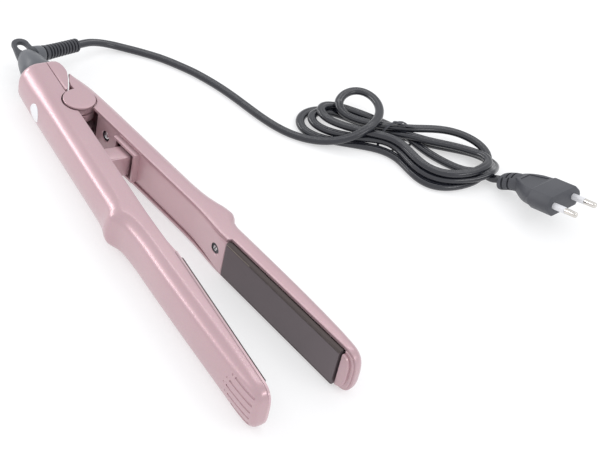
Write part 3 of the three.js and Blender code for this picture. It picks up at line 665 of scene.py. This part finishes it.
CORD_TOP = smooth_curve([(-45, 23.4), (-38, 24.2), (-25, 24.5), (60, 24.5), (84, 24.5), (94, 25.2),
        (99, 26.2), (102.5, 27.0), (104.5, 26.9), (107, 25.6), (110, 23.6), (114, 22.0), (120, 21.0),
        (130, 20.1), (150, 19.4), (184, 17.9), (215, 16.2), (240, 14.6), (252, 13.4), (258, 12.4),
        (262, 11.2)])
CORD_CROWN = smooth_curve([(-45, 21), (90, 21), (103, 24), (114, 34), (150, 36), (262, 36)])
CORD_EDGE = smooth_curve([(-45, 7.5), (-36, 8), (-24, 7.5), (-8, 6), (20, 5), (90, 5), (112, 6.2),
        (150, 6.5), (220, 6), (240, 5), (250, 3.7), (262, 2.9)])
CORD_LIP = smooth_curve([(-45, 4.7), (108, 4.7), (118, 4.5), (150, 3.7), (262, 3.7)])
FREE_TOP = smooth_curve([(-27.3, 12.4), (-23, 14.6), (-18, 16.4), (-7, 18), (21, 18.6), (95, 18.5),
        (109, 19.1), (119, 20.8), (126, 22.4), (130.5, 22.7), (134, 21.4), (138.5, 18.4), (144, 17.2),
        (160, 17), (200, 16.3), (240, 14.5), (252, 13.2), (258, 12), (262, 10.8)])
FREE_CROWN = smooth_curve([(-28, 34), (100, 40), (150, 60), (264, 70)])
FREE_EDGE = smooth_curve([(-28, 3), (-10, 5), (100, 5), (150, 4.6), (250, 4.2), (264, 4)])
FREE_LIP = smooth_curve([(-27.3, 11.6), (-25, 9.4), (-22.3, 7.4), (-18.4, 5), (-14.8, 3.95), (-12, 3.8),
        (108, 3.8), (118, 3.6), (128, 2.9), (138, 2.0), (146, 1.6), (149.8, 1.6), (151.2, 4.4),
        (262, 4.4)])
# where each rib starts, and its height
RIBS = [(242.5, 9.3), (239, 4.7), (237, 0.0), (238.8, -4.6), (241.8, -9.2)]
RIB_END = 259.4


def cut_ribs(shell, top, crown):
    """Fan of fine lengthwise grooves on the tip, each led by a small dimple."""
    for i, (start, z) in enumerate(RIBS):
        path = []
        for x in np.linspace(start, RIB_END, 18):
            radius = crown(x)
            sag = radius - math.sqrt(radius * radius - z * z)
            inset = TIP_X - x - 0.25
            edge = CORD_EDGE(x)
            drop = edge - math.sqrt(edge * edge - (edge - inset) ** 2) if inset < edge else 0.0
            path.append((x, top(x) - sag - drop, z))
        groove = sweep(f"groove_{i}", np.array(path), circle((0, 0), 0.66, 10), CORD_ARM,
                Vector((0, 1, 0)))
        combine(shell, groove, sharp=32)
        dimple_x = start - 2.6
        radius = crown(dimple_x)
        level = top(dimple_x) - (radius - math.sqrt(radius * radius - z * z))
        dimple = turned(f"dimple_{i}", [(-0.5, 0)] + [(0.5 * -math.cos(a), 0.6 * math.sin(a))
                for a in np.linspace(0.4, math.pi - 0.4, 6)] + [(0.5, 0)],
                CORD_ARM @ Matrix.Translation((dimple_x, level, z)) @ X_TO_Y, 12)
        combine(shell, dimple, sharp=32)


def make_cord_shell():
    shell = shell_mesh("cord_arm_casing", REAR_X, REAR_REACH, REAR_POWER, CORD_TOP, CORD_CROWN, CORD_EDGE,
            CORD_LIP, stations_for(REAR_X, CORD_SHOULDER), CORD_ARM)
    combine(shell, hinge_clearance(CORD_ARM), sharp=32)
    cut_ribs(shell, CORD_TOP, CORD_CROWN)
    widen(shell, CORD_ARM)
    finish_piece(shell, PINK, "cord_arm", "pink_shell", "cord_arm_shell")
    eyes = knuckles("cord_arm_knuckles", 10.2, 3.4, 8.2, 20, CORD_ARM)
    finish_piece(eyes, PINK, "cord_arm", "pink_shell")


def make_free_shell():
    shell = shell_mesh("free_arm_casing", FREE_REAR_X, FREE_REAR_REACH, FREE_REAR_POWER, FREE_TOP,
            FREE_CROWN, FREE_EDGE, FREE_LIP, stations_for(FREE_REAR_X, FREE_SHOULDER)
            + [149.8, 150.5, 151.2], FREE_ARM)
    combine(shell, hinge_clearance(FREE_ARM), sharp=32)
    widen(shell, FREE_ARM)
    finish_piece(shell, PINK, "free_arm", "pink_shell", "free_arm_shell")
    eyes = knuckles("free_arm_knuckles", 9.5, 9.0, 12.6, 11.8, FREE_ARM)
    finish_piece(eyes, PINK, "free_arm", "pink_shell")


make_cord_shell()
make_free_shell()


# ---- inner covers
COVER_HALF = ARM_HALF - WALL - GAP
COVER_THICK = 1.8
COVER_START, COVER_END = 14.0, 150.4
PLATE_START, PLATE_END = 151.0, 251.6
COVER_FACE = smooth_curve([(14, 4.9), (104, 4.9), (116, 4.75), (124, 4.0), (140, 1.75), (146, 1.0),
        (150.4, 0.85)])
SCREW_X = (24.0, 141.0)
WELL_R = 3.4
SCREW_DEPTH, CROSS_TURN = 0.3, 0.35  # how deep a head sits, and the turn of its cross
SOCKET_X, SOCKET_HALF, SOCKET_WALL, SOCKET_RIM = (38.0, 57.5), 9.2, 1.6, 1.0


def cover_slab(name, matrix):
    """Strip that closes the handle's inner side and climbs to the heater plate, its long edges eased."""
    section = [(-COVER_HALF, 1.0), (-COVER_HALF, 0.45), (-COVER_HALF + 0.13, 0.13),
               (-COVER_HALF + 0.45, 0.0)]
    section += [(z, 0.0) for z in np.linspace(-COVER_HALF + 2, COVER_HALF - 2, 9)]
    section += [(-z, y) for z, y in reversed(section[:4])]
    section += [(COVER_HALF, None), (-COVER_HALF, None)]
    rows = [(x, 0.45 if x in (COVER_START, COVER_END) else 0.0)
            for x in [COVER_START, COVER_START + 0.4] + list(np.arange(17, 104, 4.0))
            + list(np.arange(104, 149, 1.5)) + [COVER_END - 0.4, COVER_END]]
    points = [(x, max(COVER_FACE(x) + COVER_THICK, 6.2) if y is None else COVER_FACE(x) + max(y, ease), z)
              for x, ease in rows for z, y in section]
    return new_piece(name, points, capped_faces(len(rows), len(section)), matrix)


def screw_seat(cover, matrix):
    """Raised collars behind the cover and the wells that the screws sit in."""
    for x in SCREW_X:
        face = COVER_FACE(x)
        collar = prism("collar", circle((x, 0), WELL_R + 1.2, 40), face + 0.6, face + 3.4, "y", matrix)
        combine(cover, collar, "UNION")
    for x in SCREW_X:
        face = COVER_FACE(x)
        well = prism("well", circle((x, 0), WELL_R, 40), face - 4, face + 2.2, "y", matrix)
        combine(cover, well)
        lead = turned("lead", [(face - 1.2, 0), (face - 1.2, WELL_R + 0.5 + 1.2), (face + 0.5, WELL_R),
                (face + 0.5, 0)], matrix @ Matrix.Translation((x, 0, 0)) @ X_TO_Y, 40)
        combine(cover, lead)


def screw(name, x, matrix, body, face, *nodes):
    """Cross-head pan screw, its head in the well."""
    turn = matrix @ Matrix.Translation((x, face, 0)) @ X_TO_Y
    profile = [(0.0, 0.0), (0.02, 0.8), (0.12, 1.5), (0.4, 2.15), (0.8, 2.45), (1.3, 2.5), (1.3, 1.35),
               (8.0, 1.3), (8.6, 0.0)]
    head = turned(name, profile, turn, 40)
    for angle in (CROSS_TURN, CROSS_TURN + math.pi / 2):
        arm = block("slot", (-0.6, 0.9), (-0.36, 0.36), (-1.7, 1.7), turn @ Matrix.Rotation(angle, 4, "X"))
        combine(head, arm)
    finish_piece(head, STEEL, body, "steel", *nodes)


def land(name, matrix, low, high, half, reach):
    """D-shaped raised land between the heater plate's end and the tip."""
    start = PLATE_END + 1.2
    fine = [(TIP_START + x, z) for x, z in superellipse(reach, half, TIP_POWER, 16)
            if TIP_START + x > start]
    mirrored = [(x, -z) for x, z in reversed(fine[:-1])]
    outline = [(start, half * 0.985)] + fine + mirrored + [(start, -half * 0.985)]
    piece = prism(name, outline, low, high, "y", matrix)
    return bevel(piece, 0.7, 3, 40)


def paint_well_shade(cover, matrix):
    """Painted shade: the walls and floor of each screw well get the black plastic, to stand for the shade in the
    recess.
    """
    def in_painted_well_shade(centre):
        return int(any(math.hypot(centre.x - x, centre.z) < WELL_R + 0.1 and centre.y > COVER_FACE(x)
                + 0.25 for x in SCREW_X))
    paint(cover, matrix, [BLACK], in_painted_well_shade)


def make_free_cover():
    cover = cover_slab("free_arm_inner_cover", FREE_ARM)
    x0, x1 = SOCKET_X
    outer, inner = SOCKET_HALF + SOCKET_WALL, SOCKET_HALF
    mouth = prism("mouth", [(x0 - 1, -outer), (x1 + SOCKET_WALL, -outer), (x1 + SOCKET_WALL, outer),
            (x0 - 1, outer)], SOCKET_RIM, 6.4, "y", FREE_ARM)
    combine(cover, mouth, "UNION")
    combine(cover, prism("space", [(x0 - 3, -inner), (x1, -inner), (x1, inner), (x0 - 3, inner)], -2, 9,
            "y", FREE_ARM))
    screw_seat(cover, FREE_ARM)
    bevel(cover, 0.28, 2, 50)
    # the cover takes the lighter pink, partly painted light
    finish_piece(widen(cover, FREE_ARM), PINK_INNER_PAINTED_LIGHT, "free_arm", "pink_cover", "free_arm_cover")
    # painted shade: black inside the screw wells
    paint_well_shade(cover, FREE_ARM)
    insert = land("tip_land", FREE_ARM, 1.4, 4.6, ARM_HALF - 2.6, TIP_X - TIP_START - 3.6)
    finish_piece(widen(insert, FREE_ARM), PINK, "free_arm", "pink_cover", "tip_insert")
    rim = land("tip_ledge", FREE_ARM, 3.4, 7.5, ARM_HALF - 1.2, TIP_X - TIP_START - 1.4)
    finish_piece(widen(rim, FREE_ARM), PINK, "free_arm", "pink_cover")


def make_cord_cover():
    cover = cover_slab("cord_arm_inner_cover", CORD_ARM)
    frame_half, hole_half = ARM_HALF - 0.15, 12.8
    outline = [(COVER_END - 4, frame_half)] + [(TIP_START + x, z)
            for x, z in superellipse(TIP_X - TIP_START - 0.4, frame_half, TIP_POWER, 16)]
    outline += [(x, -z) for x, z in reversed(outline[:-1])]
    rim = prism("rim", outline, 2.2, 3.6, "y", CORD_ARM)
    combine(cover, rim, "UNION")
    hole = prism("hole", [(PLATE_START - GAP, -hole_half), (PLATE_END + GAP, -hole_half),
            (PLATE_END + GAP, hole_half), (PLATE_START - GAP, hole_half)], -3, 9, "y", CORD_ARM)
    combine(cover, hole)
    screw_seat(cover, CORD_ARM)
    bevel(cover, 0.28, 2, 50)
    # the cover takes the lighter pink, partly painted light
    finish_piece(widen(cover, CORD_ARM), PINK_INNER_PAINTED_LIGHT, "cord_arm", "pink_cover", "cord_arm_cover")
    # painted shade: black inside the screw wells
    paint_well_shade(cover, CORD_ARM)
    insert = land("cord_arm_tip_land", CORD_ARM, 0.9, 3.3, ARM_HALF - 2.2, TIP_X - TIP_START - 4.4)
    finish_piece(widen(insert, CORD_ARM), PINK, "cord_arm", "pink_cover")
    tongue = prism("latch_tongue", [(41.2, 5.5), (42.2, -12.6), (54, -12.6), (54, 5.5)], -7.6, 7.6, "z",
            CORD_ARM)
    bevel(tongue, 1.3, 4, 50)
    finish_piece(tongue, PINK, "cord_arm", "pink_cover")


def make_rear_cover():
    """Block that closes the cord arm behind the hinge, curved down to a nose beside the free arm's tail."""
    nose = smooth_curve([(-45, 1.2), (-42, -2.0), (-39.4, -3.4), (-35.5, -4.3), (-31.5, -4.4), (-27, -3.4),
            (-20, -0.8), (-15.6, 1.0), (-12.5, 2.6)])
    face = [(float(x), nose(x)) for x in np.linspace(-45, -12.5, 34)]
    outline = [(-12.5, 4.4), (-45, 4.4)] + face
    cover = prism("rear_block", outline, -ARM_HALF - 1, ARM_HALF + 1, "z", CORD_ARM)
    plan = [(REAR_X + REAR_REACH - x, z)
            for x, z in reversed(superellipse(REAR_REACH, ARM_HALF, REAR_POWER, REAR_STEPS))]
    plan += [(-12, ARM_HALF), (-12, -ARM_HALF)] + [(x, -z) for x, z in reversed(plan[1:])]
    combine(cover, prism("plan", plan, -8, 8, "y", CORD_ARM), "INTERSECT")
    bevel(cover, 0.3, 2, 50)
    combine(cover, hinge_clearance(CORD_ARM))
    finish_piece(cover, PINK, "cord_arm", "pink_shell", "rear_cover")


make_free_cover()
make_cord_cover()
make_rear_cover()
for number, x in enumerate(SCREW_X, 1):
    screw(f"inner_screw_a_{number}", x, CORD_ARM, "cord_arm", COVER_FACE(x) + SCREW_DEPTH,
          f"cover_screw_a_{number}")
    screw(f"inner_screw_b_{number}", x, FREE_ARM, "free_arm", COVER_FACE(x) + SCREW_DEPTH,
          f"cover_screw_b_{number}")


# ---- heater plates
PLATE_SHARP = 20


def heater_plate(name, matrix, body, node):
    """Coated plate: flat face, a fine line along each edge, a bare bevel and a side wall."""
    face, line_z, side_z, deep = 0.2, 11.15, 12.5, 3.4
    half_section = [(face, 0.0), (face, 6.0), (face, line_z), (face + 0.25, line_z + 0.05),
            (face + 0.25, line_z + 0.25), (face + 0.06, line_z + 0.32), (face + 0.06, line_z + 0.8),
            (face + 0.85, side_z), (deep, side_z), (deep, 10.3), (6.4, 10.3), (6.4, 0.0)]
    section = half_section + [(y, -z) for y, z in reversed(half_section[1:-1])]
    ends = [(PLATE_START, 0.35), (PLATE_START + 0.35, 0.0)] + [(x, 0.0)
            for x in np.linspace(156, 247, 12)] + \
        [(PLATE_END - 0.35, 0.0), (PLATE_END, 0.35)]
    points = [(x, y + (ease if y < 1 else 0.0), z) for x, ease in ends for y, z in section]
    faces = capped_faces(len(ends), len(section))
    plate = widen(new_piece(name, points, faces, matrix, PLATE_SHARP), matrix)
    finish_piece(plate, COATING, body, "plate_coating", node)

    # past the fine line: the bevel gets the lighter bare metal (painted highlight), the side wall the darker copy
    # (painted shade)
    def band(centre):
        return sum(abs(centre.z) > line_z + past for past in (0.3, 0.7))
    paint(plate, matrix, [BARE_EDGE_PAINTED_HIGHLIGHT, BARE_SIDE_PAINTED_SHADE], band)


heater_plate("coated_plate_a", CORD_ARM, "cord_arm", "heater_plate_a")
heater_plate("coated_plate_b", FREE_ARM, "floating_plate", "heater_plate_b")


# ---- hinge and badge
def hinge_cap(name, side, node):
    radius, top, low = 10.4, MID_Z, MID_Z - 1.7
    profile = [(low, 0), (low, radius - 0.25)] + [(low + 0.25, radius)] + \
        [(top - 0.55 + 0.55 * math.sin(a), radius - 0.55 + 0.55 * math.cos(a))
         for a in np.linspace(0, math.pi / 2, 6)] + \
        [(top - 0.02, radius * 0.6), (top, 0)]
    turn = Matrix.Rotation(-side * math.pi / 2, 4, "Y")
    cap = turned(name, profile, MIDDLE @ turn, 96, 25)
    finish_piece(cap, PINK, "cord_arm", "pink_shell", node)


hinge_cap("hinge_cap_top", 1, "hinge_disc_top")
hinge_cap("hinge_cap_bottom", -1, "hinge_disc_bottom")


BADGE_X, BADGE_R = -11.5, 6.0


def make_badge():
    """Plain round inlay, dished a little and with a fine raised rim, on the crowned rear of the arm."""
    level, radius = CORD_TOP(BADGE_X), BADGE_R
    profile = [(-2.4, 0), (-2.4, radius), (0.0, radius), (0.18, radius - 0.15), (0.18, radius - 0.7),
               (0.02, radius - 0.9)]
    profile += [(0.02, r) for r in np.linspace(4.6, 0, 7)]
    badge = turned("rear_badge", profile,
            CORD_ARM @ Matrix.Translation((BADGE_X, level + 0.06, 0)) @ X_TO_Y, 64)

    def follow_crown(place):
        place.y -= CORD_CROWN(BADGE_X) - math.sqrt(CORD_CROWN(BADGE_X) ** 2 - place.z ** 2)
    reshape(badge, CORD_ARM, follow_crown)
    finish_piece(badge, BADGE_WHITE, "cord_arm", "badge", "badge_disc")


make_badge()


# ---- swivel, hanging loop and strain relief
RELIEF_AXIS = (RELIEF_END - RELIEF_START).normalized()


def make_swivel():
    radius = smooth_curve([(-73.8, 0.01), (-73.5, 1.8), (-72.4, 3.7), (-70, 5.6), (-66, 7.4), (-60, 9.0),
            (-55.5, 9.9), (-50, 10.7), (-45.6, 11.2)])
    lean = smooth_curve([(-73.8, -3.2), (-54, -3.0), (-50, -2.0), (-47, -0.5), (-45.6, 0.0)])
    profile = [(-73.8, 0)] + [(float(x), radius(x)) for x in -73.8
            + 28.2 * np.linspace(0.01, 1, 40) ** 1.6] + [(-45.6, 0)]
    dome = turned("swivel_dome", profile, sides=72)
    for vertex in dome.data.vertices:
        vertex.co += Vector((0, SWIVEL_Y + lean(vertex.co.x / MM), MID_Z)) * MM
    neck_profile = [(-8, 0), (-8, 6.4), (-4.5, 6.2), (-2.6, 5.9), (-1.6, 5.75), (-1, 5.5), (-1, 0)]
    neck = turned("neck", neck_profile, along(RELIEF_START, RELIEF_AXIS), 48)
    combine(dome, neck, "UNION")
    bevel(dome, 0.9, 3, 28)
    finish_piece(dome, SATIN_GREY, "cord_swivel", "swivel_plastic", "swivel_cap")


def make_loop():
    y = SWIVEL_Y - 2.2
    tip = arc((-83, y), 5.9, 84, 276, 26)
    outline = [(-62, y + 7.4), (-70, y + 7.3), (-76, y + 6.8)] + tip + [(-76, y - 6.8), (-70, y - 7.6),
            (-62, y - 8.2)]
    loop = prism("hanging_ring", outline, -1.6, 1.6, "z", MIDDLE)
    hole = prism("hole", [(-79.6 + 5.2 * math.cos(a), y + 3.1 * math.sin(a))
            for a in np.linspace(0, 2 * math.pi, 48)[:-1]], -4, 4, "z", MIDDLE)
    combine(loop, hole)
    bevel(loop, 0.75, 3, 40)
    finish_piece(loop, BLACK, "cord_swivel", "black_plastic", "hanging_loop")


def make_relief():
    """Ribbed sleeve: a plain collar, ten rounded ribs with narrow gaps, and a rounded end."""
    length = (RELIEF_END - RELIEF_START).length
    collar, ribs = 3.4, 10
    pitch = (length - collar) / ribs
    outer = smooth_curve([(0, 5.5), (5, 5.05), (length, 4.75)])
    profile = [(GAP, 0), (GAP, 5.2), (GAP + 0.3, 5.45)] + [(x, outer(x)) for x in (1.2, 2.2, 3.1)]
    for i in range(ribs):
        start = collar + i * pitch
        full, deep = outer(start), outer(start) - 1.25
        profile += [(start + 0.05, full - 0.25), (start + 0.1, deep), (start + 0.34 * pitch, deep),
                    (start + 0.36 * pitch, full - 0.4), (start + 0.44 * pitch, full - 0.06),
                    (start + 0.66 * pitch, full), (start + 0.9 * pitch, full - 0.06)]
    profile += [(length - 0.1, outer(length) - 0.6), (length, outer(length) - 1.1), (length, 2.9),
                (length - 2, 2.8), (length - 2, 0)]
    relief = turned("ribbed_sleeve", profile, along(RELIEF_START, RELIEF_AXIS), 56)
    finish_piece(relief, BLACK, "cord_swivel", "black_plastic", "strain_relief")
    return relief


make_swivel()
make_loop()
relief = make_relief()


# ---- plug, pins and tie
PLUG_LENGTH, PLUG_HEIGHT, PIN_SPACING, PIN_REACH, SLEEVE = 52.0, 13.6, 18.4, 19.0, 10.0
PLUG_REAR, PLUG_YAW, PLUG_PITCH, PLUG_ROLL = (126.4, 255.7, 6.7), 9.0, 18.3, 2.6
PLUG = Matrix.Translation(PLUG_REAR) @ Matrix.Rotation(math.radians(PLUG_YAW), 4, "Z") \
    @ Matrix.Rotation(math.radians(-PLUG_PITCH), 4, "Y") @ Matrix.Rotation(math.radians(PLUG_ROLL), 4,
        "X") \
    @ Matrix.Translation((0, 0, -PLUG_HEIGHT / 2))
# how far the cord pulls the end of the plug's sleeve, and how much of the sleeve bends
RELIEF_BEND, RELIEF_BENT = Vector((3.4, -5.6, -0.8)), 16.0


def bend_relief(piece):
    back = PLUG.inverted()
    for vertex in piece.data.vertices:
        reach = max(RELIEF_BENT - (back @ (vertex.co / MM)).x, 0.0) / RELIEF_BENT
        vertex.co += RELIEF_BEND * (reach * reach * MM)
    piece.data.update()
    return piece


CASING_START = 12.4  # the sleeve reaches back from here


def make_plug():
    middle = PLUG_HEIGHT / 2
    wide = smooth_curve([(CASING_START, 5.0), (14, 5.6), (16.5, 7.0), (20, 9.6), (25, 12.8), (30, 15.2),
            (33.2, 16.3), (34.2, 17.4), (35.5, 17.5), (PLUG_LENGTH, 17.5)])
    flat = smooth_curve([(CASING_START, 3.4), (15, 4.6), (19, 6.8), (26, 9.8), (33, 11), (34.2, 11.5),
            (PLUG_LENGTH, 11.5)])
    tall = smooth_curve([(CASING_START, 5.2), (16, 5.9), (20, 6.2), (33.2, 6.25), (34.2, 6.8),
            (PLUG_LENGTH, 6.8)])
    stations = list(np.linspace(CASING_START, 33.2, 24)) + [33.6, 34.2, 34.8, 35.5, 38, 44, PLUG_LENGTH]
    points = []
    for x in stations:
        w, f, h = wide(x), flat(x), tall(x)
        flank = []
        for t in np.linspace(0, 1, 7):  # each side edge is well rounded
            near, far = 0.55 * (1 - t) ** 2, 0.55 * t * t
            flank.append((w - (w - f) * (near + far), h * (near - far)))
        half = [(f, h)] + flank + [(f, -h)]
        points += [(x, a, middle + b) for a, b in half] + [(x, -a, middle - b) for a, b in half]
    faces = capped_faces(len(stations), len(points) // len(stations))
    body = new_piece("plug_casing", points, faces, PLUG, 25)
    bevel(body, 0.55, 3, 25)
    panel = prism("panel", [(18, -4.4), (31.6, -8.6), (31.6, 8.6), (18, 4.4)], PLUG_HEIGHT - 1.1,
                  PLUG_HEIGHT + 2, "z", PLUG)
    combine(body, panel)
    sleeve_profile = [(0.2, 0), (0.2, 4.2), (0.7, 5.2), (1.9, 5.85), (3.4, 6.05), (12, 6.25), (15, 6.0),
            (16, 5.4), (16, 0)]
    sleeve = turned("sleeve", sleeve_profile, PLUG @ Matrix.Translation((0, 0, middle)), 48)
    for x, turn in ((3.4, 0.0), (7.8, 0.0), (5.6, 90.0), (9.6, 90.0)):
        for side in (-1, 1):
            cut = block("cut", (x, x + 1.25), sorted((3.6 * side, 8 * side)), (-4.4, 4.4),
                        PLUG @ Matrix.Translation((0, 0, middle))
                        @ Matrix.Rotation(math.radians(turn), 4, "X"))
            combine(sleeve, cut)
    combine(body, sleeve, "UNION")
    for side in (-1, 1):
        socket = turned("socket", [(PLUG_LENGTH - 4, 0), (PLUG_LENGTH - 4, 2.35), (PLUG_LENGTH + 1, 2.35),
                (PLUG_LENGTH + 1, 0)], PLUG @ Matrix.Translation((0, side * PIN_SPACING / 2, middle)), 32)
        combine(body, socket)
    shade(body, 35)
    bend_relief(body)
    finish_piece(body, PLUG_PVC, "cord_arm", "plug_pvc", "plug_body")
    made = [body]
    for number, side in enumerate((-1, 1), 1):
        place = PLUG @ Matrix.Translation((0, side * PIN_SPACING / 2, middle))
        end = PLUG_LENGTH + PIN_REACH
        nose = [(end - 1.5 + 1.5 * math.sin(a), 0.5 + 1.5 * math.cos(a))
                for a in np.linspace(0, math.pi / 2, 7)]
        step = PLUG_LENGTH + SLEEVE
        pin = turned(f"contact_pin_{number}", [(PLUG_LENGTH - 5, 0), (PLUG_LENGTH - 5, 1.5),
                (step - 0.2, 1.5), (step, 2.0)] + nose + [(end, 0)], place, 40)
        finish_piece(pin, NICKEL, "cord_arm", "plug_pin", f"plug_pin_{number}")
        cover = turned(f"pin_cover_{number}", [(PLUG_LENGTH - 3.9, 1.55), (PLUG_LENGTH - 3.9, 2.2),
                (step - 0.6, 2.2), (step - 0.35, 2.05), (step - 0.25, 1.55), (PLUG_LENGTH - 3.9, 1.55)],
                place, 40)
        finish_piece(cover, WHITE_NYLON, "cord_arm", "nylon", f"pin_sleeve_{number}")
        made += [pin, cover]
    return made


TIE_ROUTE = [(70.5, 190.5, 1.0), (66.0, 191.8, 3.2), (63.6, 194.6, 7.2), (62.4, 198.5, 11.4),
             (61.6, 203, 13.6), (61.6, 207.5, 13.9), (62.0, 212, 13.2), (63.0, 216.3, 10.4),
             (64.6, 219.3, 6.6), (67.4, 220.6, 2.8), (70.2, 219.4, 0.9), (72, 214, 0.6), (73.2, 206, 0.6),
             (73.6, 198, 0.6), (72.6, 193, 0.65), (70.5, 190.5, 1.0)]
TIE_TAIL = [(61.2, 204.5, 14.3), (61.8, 206.2, 14.6), (63.4, 208, 14.4), (66.4, 211.9, 13.6),
            (68.5, 217.3, 12.9)]


def make_tie():
    band = [(0.9 * math.cos(a), 0.45 * math.sin(a)) for a in np.linspace(0, 2 * math.pi, 11)[:-1]]
    pieces = []
    for name, route in (("tie_band", TIE_ROUTE), ("tie_tail", TIE_TAIL)):
        line = centripetal(route, 0.8)
        piece = sweep(name, line, band)
        finish_piece(piece, BLACK, "cord_arm", "black_plastic", "cord_tie")
        pieces.append(piece)
    return pieces


plug_pieces = make_plug()
tie_pieces = make_tie()


# ---- stage
# the floor glows a little, to keep the shadows faint
FLOOR_SIZE, FLOOR_LEVEL, FLOOR_COLOUR, FLOOR_GLOW = 14, -0.0003, (0.5, 0.5, 0.503, 1), 0.52
SKY_COLOUR, SKY_STRENGTH = (0.97, 0.98, 1.0, 1), 0.94


def make_stage():
    bpy.ops.mesh.primitive_plane_add(size=FLOOR_SIZE, location=(0, 0, FLOOR_LEVEL))
    floor = bpy.context.object
    floor.name = "floor"
    look, tree, shader = nodes_of("floor_white")
    settings(shader, Base_Color=FLOOR_COLOUR, Roughness=0.9, Emission_Color=(1, 1, 1, 1),
             Emission_Strength=FLOOR_GLOW)
    floor.data.materials.append(look)
    world = bpy.data.worlds.new("studio")
    bpy.context.scene.world = world
    world.use_nodes = True
    settings(world.node_tree.nodes["Background"], Color=SKY_COLOUR, Strength=SKY_STRENGTH)
    bpy.context.scene.view_settings.view_transform = "Standard"


def soft_light(name, at, target, size, power):
    data = bpy.data.lights.new(name, "AREA")
    data.shape, data.size, data.size_y = "RECTANGLE", size[0], size[1]
    data.energy = power
    light = bpy.data.objects.new(name, data)
    direction = Vector(target) - Vector(at)
    light.matrix_world = Matrix.Translation(at) @ direction.to_track_quat("-Z", "Y").to_matrix().to_4x4()
    bpy.context.scene.collection.objects.link(light)


make_stage()
soft_light("left_box", (-0.85, -0.65, 0.55), (0.05, -0.02, 0.015), (1.0, 0.2), 3.6)
soft_light("right_box", (0.95, 0.6, 0.95), (0.2, 0.0, 0.015), (0.6, 0.2), 2.0)
soft_light("top_strip", (-0.45, 0.55, 1.0), (0.1, 0.15, 0.0), (0.9, 0.1), 1.0)
